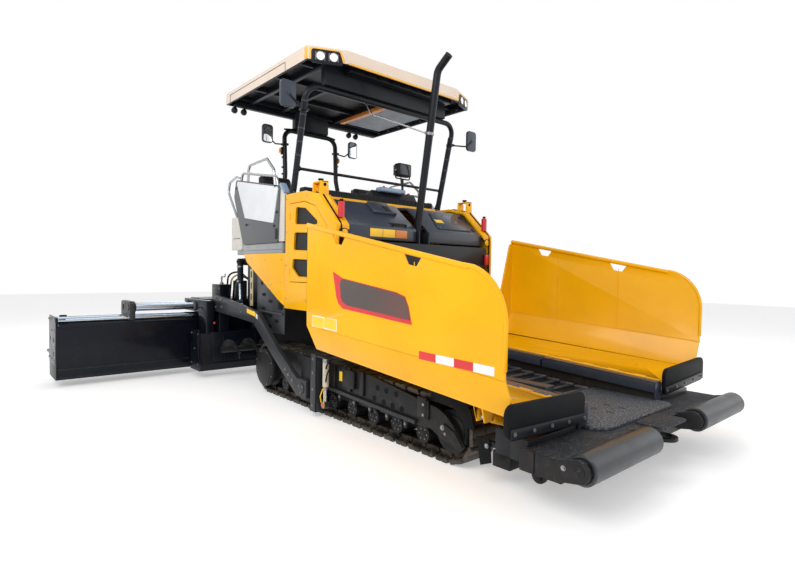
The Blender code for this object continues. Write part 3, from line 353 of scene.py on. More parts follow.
def meshPiece(name, bm, finish, body, slot, *replaced, angle=35):
    # turns a bmesh into a piece that rides on a body; finish is one name, or several in the faces' order
    mesh = bpy.data.meshes.new(name)
    bm.normal_update()
    bm.to_mesh(mesh)
    bm.free()
    names = [finish] if isinstance(finish, str) else finish
    for each in names:
        mesh.materials.append(finishes[each])
    mesh.shade_smooth()
    mesh.set_sharp_from_angle(angle=math.radians(angle))
    piece = bpy.data.objects.new(name, mesh)
    bpy.context.scene.collection.objects.link(piece)
    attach(piece, body)
    if replaced:
        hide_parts(*replaced)
    return piece


def tidyNormals(bm):
    bmesh.ops.remove_doubles(bm, verts=bm.verts[:], dist=0.0001)
    bmesh.ops.recalc_face_normals(bm, faces=bm.faces[:])
    return bm


def addBox(bm, low, high, width=0.003, index=0, segments=2):
    lo = Vector([min(pair) for pair in zip(low, high)])
    hi = Vector([max(pair) for pair in zip(low, high)])
    size = hi - lo
    box = bmesh.new()
    bmesh.ops.create_cube(box, size=1.0,
        matrix=Matrix.Translation((lo + hi) / 2) @ Matrix.Diagonal((*size, 1.0)))
    if width:
        bmesh.ops.bevel(box, geom=box.edges[:], offset=min(width, min(size) * 0.4), segments=segments,
            profile=0.5, affect="EDGES", material=-1, clamp_overlap=True)
    merge(bm, box, index)


def addRod(bm, start, end, radius, around=16, index=0, tip=None, cap=True):
    start = Vector(start)
    end = Vector(end)
    span = end - start
    turn = span.to_track_quat("Z", "Y").to_matrix().to_4x4()
    place = Matrix.Translation((start + end) / 2) @ turn
    made = bmesh.ops.create_cone(bm, cap_ends=cap, segments=around, radius1=radius,
        radius2=radius if tip is None else tip, depth=span.length, matrix=place)
    faces = {f for v in made["verts"] for f in v.link_faces}
    for face in faces:
        face.material_index = index
    return made["verts"]


def addBolt(bm, place, outward, radius=0.011, index=0):
    # washer and hexagon head
    outward = Vector(outward).normalized()
    place = Vector(place)
    addRod(bm, place - outward * 0.002, place + outward * radius * 0.25, radius * 1.5, 12, index)
    addRod(bm, place, place + outward * radius * 0.95, radius, 6, index, radius * 0.94)


def addPrism(bm, outline, axis, low, high, index=0, width=0.0, segments=2):
    # a closed outline of (y, z), (x, z) or (x, y) pairs, pushed along an axis
    along = "XYZ".index(axis)
    solid = bmesh.new()
    verts = []
    for first, second in outline:
        place = [first, second]
        place.insert(along, min(low, high))
        verts.append(solid.verts.new(place))
    face = solid.faces.new(verts)
    pushed = bmesh.ops.extrude_face_region(solid, geom=[face])["geom"]
    shift = [0.0, 0.0, 0.0]
    shift[along] = abs(high - low)
    bmesh.ops.translate(solid, vec=shift, verts=[v for v in pushed if isinstance(v, bmesh.types.BMVert)])
    bmesh.ops.recalc_face_normals(solid, faces=solid.faces[:])
    if width:
        bmesh.ops.bevel(solid, geom=solid.edges[:], offset=width, segments=segments, profile=0.5,
            affect="EDGES", material=-1, clamp_overlap=True)
    merge(bm, solid, index)


def bend(points, radius, steps=6):
    # a bent line: each inner corner becomes an arc
    points = [Vector(p) for p in points]
    line = [points[0]]
    for before, corner, after in zip(points, points[1:], points[2:]):
        back = (before - corner).normalized()
        ahead = (after - corner).normalized()
        half = back.angle(ahead) / 2
        reach = min(radius / math.tan(half), (before - corner).length * 0.49,
            (after - corner).length * 0.49)
        real = reach * math.tan(half)
        centre = corner + (back + ahead).normalized() * (real / math.sin(half))
        first = corner + back * reach - centre
        last = corner + ahead * reach - centre
        for step in range(steps + 1):
            line.append(centre + first.slerp(last, step / steps).normalized() * real)
    line.append(points[-1])
    return line


def addPipe(bm, points, radius, corner=0.08, index=0, steps=6, smooth=False, resolution=3):
    # a bent round tube with closed ends
    curve = bpy.data.curves.new("pipe", "CURVE")
    curve.dimensions = "3D"
    curve.bevel_depth = radius
    curve.bevel_resolution = resolution
    curve.use_fill_caps = True
    line = [Vector(p) for p in points] if smooth else bend(points, corner, steps)
    spline = curve.splines.new("NURBS" if smooth else "POLY")
    spline.points.add(len(line) - 1)
    for target, place in zip(spline.points, line):
        target.co = (*place, 1.0)
    if smooth:
        spline.use_endpoint_u = True
        spline.order_u = 4
        spline.resolution_u = 6
    guide = bpy.data.objects.new("pipe", curve)
    bpy.context.scene.collection.objects.link(guide)
    mesh = bpy.data.meshes.new_from_object(guide.evaluated_get(bpy.context.evaluated_depsgraph_get()))
    bpy.data.objects.remove(guide)
    tube = bmesh.new()
    tube.from_mesh(mesh)
    bpy.data.meshes.remove(mesh)
    bmesh.ops.remove_doubles(tube, verts=tube.verts[:], dist=0.00005)
    merge(bm, tube, index)


def turned(centre, axis, profile, segments=24):
    # a turned piece: profile holds (distance along the axis, radius) pairs from one end to the other
    bm = bmesh.new()
    axis = Vector(axis).normalized()
    across = axis.orthogonal().normalized()
    centre = Vector(centre)
    verts = [bm.verts.new(centre + axis * along + across * radius) for along, radius in profile]
    edges = [bm.edges.new((a, b)) for a, b in zip(verts, verts[1:])]
    bmesh.ops.spin(bm, geom=verts + edges, cent=centre, axis=axis, angle=math.tau, steps=segments,
        use_merge=True, use_duplicate=False)
    return tidyNormals(bm)


def merge(bm, other, index=None):
    # adds a finished bmesh to another one
    if index is not None:
        for face in other.faces:
            face.material_index = index
    mesh = bpy.data.meshes.new("merge")
    other.to_mesh(mesh)
    other.free()
    bm.from_mesh(mesh)
    bpy.data.meshes.remove(mesh)


def addTurned(bm, centre, axis, profile, segments=24, index=0):
    merge(bm, turned(centre, axis, profile, segments), index)


def flipSide(bm):
    # makes a right-hand shape left-handed
    bmesh.ops.scale(bm, vec=(-1.0, 1.0, 1.0), verts=bm.verts[:])
    bmesh.ops.reverse_faces(bm, faces=bm.faces[:])
    return bm


def cadCopy(node, width=0.003, segments=2, angle=28):
    # a CAD solid as clean plates with rounded edges
    bm = bmesh.new()
    bm.from_mesh(cadNodes[node].data)
    bmesh.ops.remove_doubles(bm, verts=bm.verts[:], dist=0.0001)
    bmesh.ops.dissolve_limit(bm, angle_limit=math.radians(1.0), verts=bm.verts[:], edges=bm.edges[:])
    for face in bm.faces:
        face.material_index = 0
    if width:
        limit = math.radians(angle)
        edges = [e for e in bm.edges if e.is_manifold and e.calc_face_angle(0.0) > limit
            and e.calc_length() > width * 1.5]
        bmesh.ops.bevel(bm, geom=edges, offset=width, segments=segments, profile=0.5, affect="EDGES",
            material=-1, clamp_overlap=False)
    return bm


class Room:
    # the edges of a node's box
    def __init__(self, node):
        low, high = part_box(node)
        self.x0, self.y0, self.z0 = low
        self.x1, self.y1, self.z1 = high


axleY = Room("track_right").y0 + 0.27


def behind(points):
    # (y, z) pairs measured from the front idlers' axle
    return [(axleY + y, z) for y, z in points]


def hand(bm, side):
    return flipSide(bm) if side == "left" else bm


def bodyOf(node):
    return cadNodes[node]["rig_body"]


slotOf = {row["node"]: row["material_slot"] for row in frame["record"]["subparts"]}


def skin(node, bm, finish):
    # the piece that stands for one CAD node, on that node's body
    meshPiece(node + "_skin", bm, finish, bodyOf(node), slotOf[node], node)


def softLoop(outline, radius, steps=3):
    # a closed outline with each corner made into an arc
    places = [Vector((a, b, 0.0)) for a, b in outline]
    middle = (places[0] + places[-1]) / 2
    line = bend([middle, *places, middle + Vector((1e-7, 0.0, 0.0))], radius, steps)
    return [(p.x, p.y) for p in line[1:-1]]


def addSheet(bm, outline, holes, axis, low, high, index=0, width=0.003, segments=2):
    # a flat plate with openings
    along = "XYZ".index(axis)
    sheet = bmesh.new()
    edges = []
    for loop in (outline, *holes):
        verts = []
        for first, second in loop:
            place = [first, second]
            place.insert(along, min(low, high))
            verts.append(sheet.verts.new(place))
        edges += [sheet.edges.new((a, b)) for a, b in zip(verts, verts[1:] + verts[:1])]
    bmesh.ops.triangle_fill(sheet, use_beauty=True, use_dissolve=False, edges=edges)
    bmesh.ops.dissolve_limit(sheet, angle_limit=0.01, verts=sheet.verts[:], edges=sheet.edges[:])
    pushed = bmesh.ops.extrude_face_region(sheet, geom=sheet.faces[:])["geom"]
    shift = [0.0, 0.0, 0.0]
    shift[along] = abs(high - low)
    bmesh.ops.translate(sheet, vec=shift, verts=[v for v in pushed if isinstance(v, bmesh.types.BMVert)])
    bmesh.ops.recalc_face_normals(sheet, faces=sheet.faces[:])
    if width:
        sharp = [e for e in sheet.edges if e.is_manifold and e.calc_face_angle(0.0) > 1.2]
        bmesh.ops.bevel(sheet, geom=sharp, offset=width, segments=segments, profile=0.5, affect="EDGES",
            material=-1, clamp_overlap=True)
    merge(bm, sheet, index)


def capsule(y, z, length, height):
    # outline of a slot with round ends
    half = (length - height) / 2
    arcs = []
    for step in range(7):
        angle = math.radians(-90 + 30 * step)
        arcs.append((y + half + height / 2 * math.cos(angle), z + height / 2 * math.sin(angle)))
    for step in range(7):
        angle = math.radians(90 + 30 * step)
        arcs.append((y - half + height / 2 * math.cos(angle), z + height / 2 * math.sin(angle)))
    return arcs


def laid(bm, piece, origin, angle):
    # lays a shape drawn flat round the origin onto a slope that rises towards the rear
    turn = Matrix.Translation(origin) @ Matrix.Rotation(angle, 4, "X")
    bmesh.ops.transform(piece, matrix=turn, verts=piece.verts[:])
    merge(bm, piece)


# track loops and their frames
track = {"pitch": 0.172, "idler": 0.27, "sprocket": 0.33, "padLength": 0.146, "padThick": 0.030,
    "plateThick": 0.012, "linkHeight": 0.040, "linkWidth": 0.022, "pinRadius": 0.014}


def trackPath():
    # places and turns along the loop, seen from the side: front wheel, top run, rear wheel, bottom run
    room = Room("track_right")
    front, rear = track["idler"], track["sprocket"]
    frontY, rearY = room.y0 + front, room.y1 - rear
    rise = math.atan2(2 * (rear - front), rearY - frontY)
    topLength = math.hypot(rearY - frontY, 2 * (rear - front))
    runs = [math.pi * front, topLength, math.pi * rear, rearY - frontY]
    total = sum(runs)
    count = round(total / track["pitch"])
    half = track["padLength"] / 2
    for index in range(count):
        along = (index + 0.5) * total / count
        if along < runs[0]:
            angle = -math.pi / 2 - along / front
            sink = half * half / (2 * front)
            yield (frontY + (front - sink) * math.cos(angle), front + (front - sink) * math.sin(angle),
                angle)
            continue
        along -= runs[0]
        if along < runs[1]:
            share = along / topLength
            yield (frontY + (rearY - frontY) * share, 2 * front + 2 * (rear - front) * share,
                math.pi / 2 + rise)
            continue
        along -= runs[1]
        if along < runs[2]:
            angle = math.pi / 2 - along / rear
            sink = half * half / (2 * rear)
            yield (rearY + (rear - sink) * math.cos(angle), rear + (rear - sink) * math.sin(angle), angle)
            continue
        along -= runs[2]
        yield (rearY - along, 0.0, -math.pi / 2)


def oneShoe(room):
    # drawn with its outer face at z = 0 facing up and the run along y
    bm = bmesh.new()
    half = track["padLength"] / 2
    pad, plate = track["padThick"], track["plateThick"]
    middle = (room.x0 + room.x1) / 2
    for low, high in ((room.x0, middle - 0.008), (middle + 0.008, room.x1)):
        outline = [(-half + 0.012, 0.0), (-0.012, 0.0), (0.0, -0.008), (0.012, 0.0), (half - 0.012, 0.0),
            (half, -0.014), (half, -pad), (-half, -pad)]
        addPrism(bm, outline, "X", low, high, 1)
    addBox(bm, (room.x0 + 0.004, -half - 0.008, -pad - plate), (room.x1 - 0.004, half - 0.004, -pad), 0.0)
    for x in (room.x0 + 0.03, room.x1 - 0.03):
        for y in (-half * 0.5, half * 0.5):
            addRod(bm, (x, y, -pad - plate), (x, y, -pad - plate - 0.012), 0.011, 6)
    low = -pad - plate
    for x in (room.x0 + 0.075, room.x1 - 0.075):
        outline = [(-0.092, low - 0.008), (-0.07, low), (0.05, low), (0.085, low - 0.012),
            (0.085, low - 0.034), (0.05, low - track["linkHeight"]), (-0.06, low - track["linkHeight"]),
            (-0.092, low - 0.032)]
        addPrism(bm, outline, "X", x - track["linkWidth"] / 2, x + track["linkWidth"] / 2)
    addRod(bm, (room.x0 + 0.05, -0.086, low - 0.021), (room.x1 - 0.05, -0.086, low - 0.021),
        track["pinRadius"], 8)
    return bm


def makeTrack(side):
    room = Room("track_right")
    shoe = oneShoe(room)
    mesh = bpy.data.meshes.new("shoe")
    shoe.to_mesh(mesh)
    shoe.free()
    bm = bmesh.new()
    for y, z, angle in trackPath():
        count = len(bm.verts)
        bm.from_mesh(mesh)
        bm.verts.ensure_lookup_table()
        turn = Matrix.Rotation(angle - math.pi / 2, 4, "X")
        bmesh.ops.transform(bm, matrix=Matrix.Translation((0.0, y, z)) @ turn, verts=bm.verts[count:])
    bpy.data.meshes.remove(mesh)
    meshPiece(f"track_{side}_shoes", hand(bm, side), ["track", "trackPad"], "tractor", "track_steel",
        f"track_{side}")


# the cheek places are the x faces of a dark sheet that stands in for the wing's shadow on the front wrap
# (painted shade)
carriage = {"rollers": 8, "teeth": 17, "holeRadius": 0.024, "cheekOuter": -1.226, "cheekInner": -1.212}


def makeCarriage(side):
    room = Room("track_right")
    box = Room("track_frame_right")
    bm = cadCopy("track_frame_right", 0.0025)
    outer, inner = room.x0, room.x1
    middle = (outer + inner) / 2
    idlerY, rearY = room.y0 + track["idler"], room.y1 - track["sprocket"]
    depth = 0.086
    # idler rim and hub, sprocket teeth
    for x in (outer + 0.045, inner - 0.045):
        step = -1 if x < middle else 1
        addTurned(bm, (x, idlerY, track["idler"]), (step, 0, 0), [(0, 0.0), (0, 0.05), (0.008, 0.06),
            (0.008, 0.13), (0.0, 0.14), (0.012, 0.15), (0.012, 0.18), (0, 0.183)], 28)
        addTurned(bm, (x, rearY, track["sprocket"]), (step, 0, 0),
            [(0, 0.0), (0, 0.10), (0.01, 0.11), (0.01, 0.20), (0, 0.215)], 28)
    radius = track["sprocket"] - depth
    for index in range(carriage["teeth"]):
        angle = math.tau * index / carriage["teeth"]
        tooth = bmesh.new()
        addPrism(tooth, [(-0.022, radius - 0.02), (0.022, radius - 0.02), (0.009, radius + 0.03),
            (-0.009, radius + 0.03)], "X", middle - 0.03, middle + 0.03)
        bmesh.ops.rotate(tooth, verts=tooth.verts[:], cent=(0, 0, 0), matrix=Matrix.Rotation(angle, 3, "X"))
        bmesh.ops.translate(tooth, vec=(0, rearY, track["sprocket"]), verts=tooth.verts[:])
        merge(bm, tooth, 0)
    # flanged track rollers
    for index in range(carriage["rollers"]):
        share = index / (carriage["rollers"] - 1)
        y = idlerY + 0.34 + (rearY - idlerY - 0.74) * share
        for x, step in ((outer + 0.045, -1), (inner - 0.045, 1)):
            addTurned(bm, (x, y, depth + 0.082), (step, 0, 0), [(0, 0.0), (0.022, 0.0), (0.022, 0.026),
                (0.012, 0.034), (0.012, 0.062), (0.02, 0.07), (0.02, 0.079), (0.0, 0.082)], 20)
            for turn in range(6):
                a = math.tau * turn / 6
                addRod(bm, (x + step * 0.012, y + 0.048 * math.cos(a), depth + 0.082 + 0.048 * math.sin(a)),
                    (x + step * 0.02, y + 0.048 * math.cos(a), depth + 0.082 + 0.048 * math.sin(a)), 0.006,
                    6, 1)
    # guard plate: holes (black discs, painted shade of the openings), bolts, textured foot strip and ribs
    # under the strip
    face = box.x0 + 0.048
    for share, level in ((0.20, 0.47), (0.245, 0.475), (0.285, 0.48), (0.175, 0.35), (0.215, 0.355),
            (0.255, 0.36), (0.30, 0.37)):
        y = idlerY + (rearY - idlerY) * share
        addTurned(bm, (face - 0.0005, y, level), (-1, 0, 0),
            [(0.0, 0.0), (0.0005, carriage["holeRadius"] * 0.8), (0.003, carriage["holeRadius"]),
            (0.0, carriage["holeRadius"] + 0.004)], 18, 2)
    foot = [(idlerY + 0.36, 0.262), (idlerY + 2.20, 0.335), (idlerY + 2.20, 0.372), (idlerY + 0.36, 0.297)]
    addPrism(bm, foot, "X", face - 0.028, face + 0.002, 3, 0.004)
    for index in range(7):
        y = idlerY + 0.50 + index * 0.26
        z = 0.262 + (y - idlerY - 0.36) * 0.0397
        addPrism(bm, [(y - 0.03, z), (y + 0.03, z), (y + 0.018, z - 0.075), (y - 0.018, z - 0.075)], "X",
            face - 0.012, face + 0.012, 0, 0.003)
        addBolt(bm, (face - 0.012, y, z - 0.035), (-1, 0, 0), 0.009, 1)
    # upright stiffeners with bolts, yoke plate of the idler
    for y in (idlerY + 1.12, idlerY + 1.34, idlerY + 1.62):
        addPrism(bm, [(y, 0.36), (y + 0.07, 0.36), (y + 0.045, 0.60), (y, 0.60)], "X", face - 0.02,
            face + 0.004, 0, 0.003)
    addBox(bm, (face - 0.022, idlerY + 0.20, 0.33), (face + 0.004, idlerY + 0.30, 0.50), 0.012)
    for z in (0.37, 0.46):
        addBolt(bm, (face - 0.022, idlerY + 0.25, z), (-1, 0, 0), 0.014, 1)
    addBox(bm, (face - 0.030, idlerY + 0.22, 0.34), (face + 0.004, idlerY + 0.33, 0.52), 0.006)
    addBox(bm, (face - 0.040, idlerY + 1.26, 0.40), (face + 0.002, idlerY + 1.46, 0.585), 0.012)
    yoke = [(idlerY - 0.19, 0.20), (idlerY - 0.10, 0.30), (idlerY + 0.02, 0.345), (idlerY + 0.10, 0.30),
        (idlerY + 0.05, 0.25), (idlerY - 0.03, 0.24), (idlerY - 0.12, 0.17)]
    addPrism(bm, yoke, "X", face - 0.016, face + 0.01, 0, 0.004)
    addBolt(bm, (face - 0.016, idlerY + 0.03, 0.31), (-1, 0, 0), 0.015, 1)
    addBolt(bm, (face - 0.016, idlerY, 0.265), (-1, 0, 0), 0.008, 1)
    # dark cheek over the front wrap: painted shade, a dark rubber sheet standing in for the shadow the wing
    # casts on the track there
    shadeCheekLoop = [(idlerY - 0.300, 0.36), (idlerY - 0.255, 0.50), (idlerY - 0.17, 0.60),
        (idlerY + 0.20, 0.60), (idlerY + 0.20, 0.50), (idlerY - 0.05, 0.50), (idlerY - 0.17, 0.42),
        (idlerY - 0.20, 0.36)]
    addPrism(bm, shadeCheekLoop, "X", carriage["cheekOuter"], carriage["cheekInner"], 2, 0.003)
    # yellow plate on the guard
    addBox(bm, (face - 0.003, idlerY + 1.47, 0.44), (face + 0.001, idlerY + 1.56, 0.54), 0.001, 4)
    # drive cover: stepped disc with a grip slot (black boxes, painted shade of its openings) and bolts
    cover = box.x0 + 0.001
    addTurned(bm, (cover + 0.03, rearY, track["sprocket"]), (-1, 0, 0),
        [(-0.03, 0.235), (0.012, 0.235), (0.02, 0.228), (0.022, 0.205), (0.028, 0.198), (0.028, 0.03),
        (0.028, 0.0)], 40)
    addBox(bm, (cover - 0.0005, rearY - 0.035, track["sprocket"] - 0.03),
        (cover + 0.004, rearY - 0.022, track["sprocket"] + 0.05), 0.0, 2)
    addBox(bm, (cover - 0.0005, rearY + 0.03, track["sprocket"]),
        (cover + 0.004, rearY + 0.038, track["sprocket"] + 0.035), 0.0, 2)
    for turn in range(8):
        a = math.tau * (turn + 0.5) / 8
        addBolt(bm, (cover + 0.009, rearY + 0.218 * math.cos(a), track["sprocket"] + 0.218 * math.sin(a)),
            (-1, 0, 0), 0.007, 1)
    skin(f"track_frame_{side}", hand(bm, side), ["frame", "zinc", "rubber", "deck", "label"])


for side in sides:
    makeTrack(side)
    makeCarriage(side)
print("tracks made")


# hopper, front beam and push rollers
marks = {"badgeY": -1.139, "tapeFront": -3.036, "tapeRear": -2.319, "tapeLow": 0.925, "proud": 0.0015}


def makeWing(side):
    room = Room("hopper_wing_right")
    bm = cadCopy("hopper_wing_right", 0.004, 2, 20)
    outer = room.x0 + 0.012
    rear = room.y1
    # rounded bead along the top edge and round the nose
    topRear, topNose, noseY, noseRadius = 2.05, 1.66, rear - 2.04, 0.40
    rise = math.atan2(topRear - topNose, rear - noseY)
    bead = [Vector((outer, rear, topRear)), Vector((outer, noseY, topNose))]
    for step in range(1, 13):
        angle = math.radians(90) + rise + (math.radians(176) - math.radians(90) - rise) * step / 12
        bead.append(Vector((outer, noseY + noseRadius * math.cos(angle),
            topNose - noseRadius + noseRadius * math.sin(angle))))
    bead.append(Vector((outer, room.y0 + 0.004, 0.97)))
    addPipe(bm, [p + Vector((0.004, 0, -0.003)) for p in bead], 0.017, 0.05, 0, 2)
    # upright weld lines inside
    for y in (rear - 0.75, rear - 1.55):
        addPipe(bm, [(outer + 0.0200, y, 1.05 - (rear - y) * 0.06),
            (outer + 0.0185, y, topRear - 0.08 - (rear - y) * 0.191)], 0.0035, 0.05, 0, 1)
    # hinge knuckles along the tube
    hingeX = room.x1 - 0.022
    for index in range(9):
        y = room.y0 + 0.15 + index * 0.27
        z = 0.595 + (y - room.y0) * 0.0574
        addRod(bm, (hingeX, y, z), (hingeX, y + 0.11, z + 0.0063), 0.030, 14)
    # tape, plates and the blank badge
    proud = marks["proud"]
    step = (marks["tapeRear"] - marks["tapeFront"]) / 4
    for index in range(4):
        y = marks["tapeFront"] + index * step
        z = marks["tapeLow"] + index * 0.004
        addPrism(bm, [(y, z), (y + step, z + 0.004), (y + step, z + 0.064), (y, z + 0.060)], "X",
            outer - proud, outer + 0.001, 2 if index % 2 else 1)
    addPrism(bm, [(-1.213, 1.039), (-0.784, 1.049), (-0.784, 1.158), (-1.213, 1.148)], "X", outer - 0.0008,
        outer + 0.001, 1)
    for y0, y1 in ((-0.995, -0.79), (-1.207, -1.002)):
        addPrism(bm, [(y0, 1.045), (y1, 1.055), (y1, 1.152), (y0, 1.142)], "X", outer - proud,
            outer + 0.001, 3)
    y = marks["badgeY"]
    red = [(y, 1.589), (y - 0.026, 1.50), (y - 0.06, 1.36), (y - 0.10, 1.295), (y - 0.166, 1.256),
        (y - 1.095, 1.189), (y - 1.055, 1.327), (y - 1.011, 1.405), (y - 0.90, 1.435), (y - 0.16, 1.53)]
    addPrism(bm, red, "X", outer - proud, outer + 0.001, 2)
    inner = [(y - 0.135, 1.515), (y - 0.12, 1.48), (y - 0.135, 1.36), (y - 0.165, 1.315),
        (y - 0.235, 1.288), (y - 1.075, 1.222), (y - 1.050, 1.325), (y - 1.006, 1.398), (y - 0.90, 1.428),
        (y - 0.165, 1.522)]
    addPrism(bm, inner, "X", outer - proud * 2, outer - proud * 0.5, 4)
    skin(f"hopper_wing_{side}", hand(bm, side), ["yellow", "tapeWhite", "tapeRed", "label", "badge"])


apron = {"inner": -0.712, "bolts": 5}


def makeWingApron(side):
    # rubber flap with rounded shoulders, its steel strip and bolts
    room = Room("wing_apron_right")
    front = room.y0
    inner, outer = apron["inner"], room.x0 + 0.007
    flap = softLoop([(outer, 0.520), (outer, 0.757), (inner, 0.722), (inner - 0.010, 0.478)], 0.07, 6)
    bm = bmesh.new()
    addPrism(bm, flap, "Y", front + 0.002, room.y1 - 0.004, 0, 0.006, 2)
    strip = [(outer + 0.03, 0.534), (inner - 0.004, 0.486), (inner - 0.004, 0.558), (outer + 0.03, 0.600)]
    addPrism(bm, strip, "Y", front - 0.008, front + 0.006, 1, 0.003)
    count = apron["bolts"]
    for index in range(count):
        share = index / (count - 1)
        x = outer + 0.07 + (inner - 0.03 - outer - 0.07) * share
        addBolt(bm, (x, front - 0.008, 0.564 - 0.038 * share), (0, -1, 0), 0.010, 2)
    skin(f"wing_apron_{side}", hand(bm, side), ["rubber", "dark", "zinc"])


conveyor = {"slats": 26, "pitch": 0.165, "depth": 0.022, "width": 0.52}


def makeConveyors():
    # dragging slats and chains on the hopper's floor, with the cover plates between and beside them
    room = Room("main_frame")
    bm = bmesh.new()
    start = room.y0 + 0.62
    for index in range(conveyor["slats"]):
        y = start + index * conveyor["pitch"]
        z = 0.425 + max(0.0, min(1.0, (y + 2.42) / 1.785)) * 0.155
        if y > room.y1 - 0.1:
            break
        for side in (-1, 1):
            low, high = side * 0.09, side * (0.09 + conveyor["width"])
            addBox(bm, (low, y, z), (high, y + 0.035, z + conveyor["depth"]), 0.004)
            for x in (side * 0.12, side * 0.58):
                addBox(bm, (x - 0.018, y - 0.01, z + 0.002), (x + 0.018, y + conveyor["pitch"] - 0.02,
                    z + 0.03), 0.006)
    meshPiece("conveyor_slats", bm, "conveyor", "tractor", "track_steel")
    bm = bmesh.new()
    for side in (-1, 1):
        addBox(bm, (side * 0.60, -3.118, 0.43), (side * 0.735, -3.106, 0.60), 0.003, 0)
        addBox(bm, (side * 1.10, -0.668, 1.70), (side * 1.16, -0.640, 1.84), 0.006, 2)
        for y0, y1 in ((-3.115, -1.90), (-1.88, -0.66)):
            z0, z1 = 0.60 + (y0 + 3.12) * 0.0574, 0.60 + (y1 + 3.12) * 0.0574
            addPrism(bm, [(y0, z0), (y1, z1), (y1, z1 + 0.012), (y0, z0 + 0.012)], "X", side * 0.60,
                side * 0.715, 0, 0.003)
            addPrism(bm, [(y0, z0 - 0.09), (y1, z1 - 0.09), (y1, z1), (y0, z0)], "X", side * 0.60,
                side * 0.612, 0, 0.003)
            for index in range(5):
                y = y0 + 0.10 + index * (y1 - y0 - 0.2) / 4
                addBolt(bm, (side * 0.66, y, 0.612 + (y + 3.12) * 0.0574), (0, 0, 1), 0.010, 1)
    addBox(bm, (-0.075, -2.40, 0.44), (0.075, -0.66, 0.53), 0.01)
    meshPiece("hopper_side_strips", bm, ["hood", "zinc", "red"], "tractor", "dark_paint")


carrier = {"inner": 0.755, "outer": 1.368, "front": -3.112, "rear": -2.965}


def makeFront():
    # push beam with its anti-slip top, roller brackets, end plates and the rubber mat between the wings
    room = Room("front_beam")
    bm = cadCopy("front_beam", 0.004)
    bm.normal_update()
    for face in bm.faces:
        if face.normal.z > 0.8 and face.calc_center_median().z > 0.40:
            face.material_index = 1
    wheel = Room("push_roller_right")
    y, z = (wheel.y0 + wheel.y1) / 2, (wheel.z0 + wheel.z1) / 2
    for side in (-1, 1):
        for x, way in ((room.x1, 1), (0.404, -1)):
            face = side * x
            out = side * way
            addTurned(bm, (face, y, z), (out, 0, 0), [(-0.01, 0.0), (-0.01, 0.045), (0.004, 0.045),
                (0.006, 0.040), (0.006, 0.022), (0.014, 0.020), (0.014, 0.0)], 24, 0)
            for turn in range(3):
                a = math.tau * turn / 3 + 0.5
                addBolt(bm, (face, y + 0.034 * math.cos(a), z + 0.034 * math.sin(a)), (out, 0, 0), 0.006, 2)
            addBolt(bm, (face, y + 0.10, z), (out, 0, 0), 0.012, 2)
        # rear edge strip behind each roller and the end cap's joint
        addBox(bm, (side * 0.45, wheel.y1 + 0.004, 0.418), (side * 1.38, wheel.y1 + 0.016, 0.426), 0.002, 0)
        addBox(bm, (side * (room.x1 - 0.011), room.y1 - 0.12, 0.275),
            (side * (room.x1 - 0.007), room.y1 - 0.115, 0.42), 0.001, 3)
    # centre step plate with rounded corners on top of the beam
    plate = softLoop([(-0.22, y - 0.02), (0.22, y - 0.02), (0.22, y + 0.22), (-0.22, y + 0.22)], 0.04, 4)
    addPrism(bm, plate, "Z", 0.419, 0.436, 1, 0.003)
    skin("front_beam", bm, ["frame", "grit", "zinc", "rubber"])
    # carrier box behind each flap, with a hanging plate and its bolt
    bm = bmesh.new()
    front, rear = carrier["front"], carrier["rear"]
    plate = [(-2.619, 0.367), (-2.747, 0.372), (-2.765, 0.200), (-2.666, 0.158)]
    for side in (-1, 1):
        addBox(bm, (side * carrier["inner"], front, 0.300), (side * carrier["outer"], rear, 0.462), 0.006)
        addPrism(bm, plate, "X", side * 1.315, side * 1.330, 1, 0.004)
        addBox(bm, (side * 1.275, rear - 0.005, 0.315), (side * 1.316, -2.690, 0.352), 0.004)
        addBox(bm, (side * 1.285, rear - 0.003, 0.290), (side * 1.325, -2.800, 0.474), 0.004)
        addBolt(bm, (side * 1.330, -2.725, 0.318), (side, 0, 0), 0.012, 2)
    meshPiece("front_carriers", bm, ["dark", "rubber", "zinc"], "tractor", "frame_paint")
    bm = cadCopy("front_apron", 0.004)
    mat = Room("front_apron")
    for index in range(4):
        addTurned(bm, (-0.14 + (index % 2) * 0.22, mat.y0 + 0.22 + (index // 2) * 0.14, mat.z1 - 0.0005),
            (0, 0, 1), [(0.0, 0.0), (0.0006, 0.020), (0.002, 0.022), (0.0, 0.027)], 18, 1)
    meshPiece("front_apron_skin", bm, ["mat", "rubber"], "tractor", "black_rubber", "front_apron")


def makeRoller(side):
    room = Room("push_roller_right")
    y, z = (room.y0 + room.y1) / 2, (room.z0 + room.z1) / 2
    radius, length = (room.z1 - room.z0) / 2, room.x1 - room.x0
    bm = turned((room.x0, y, z), (1, 0, 0), [(0.012, 0.021), (0.012, 0.075), (0.0, 0.080),
        (0.0, radius - 0.008), (0.008, radius), (length - 0.008, radius), (length, radius - 0.008),
        (length, 0.080), (length - 0.012, 0.075), (length - 0.012, 0.021)], 56)
    for x, way in ((room.x0 + 0.012, -1), (room.x1 - 0.012, 1)):
        addTurned(bm, (x, y, z), (way, 0, 0), [(0.0, 0.0215), (0.006, 0.0215), (0.008, 0.045),
            (0.0, 0.050)], 28, 1)
        for turn in range(5):
            a = math.tau * turn / 5
            addBolt(bm, (x, y + 0.060 * math.cos(a), z + 0.060 * math.sin(a)), (way, 0, 0), 0.006, 1)
    skin(f"push_roller_{side}", hand(bm, side), ["roller", "darkSteel"])


makeFront()
for side in sides:
    makeRoller(side)
    makeWing(side)
    makeWingApron(side)
makeConveyors()
print("hopper made")


# hood, side covers and exhaust
hoodPlan = {"slope": math.atan2(2.41 - 2.10, 2.03 - 1.635), "foot": (1.635, 2.10)}


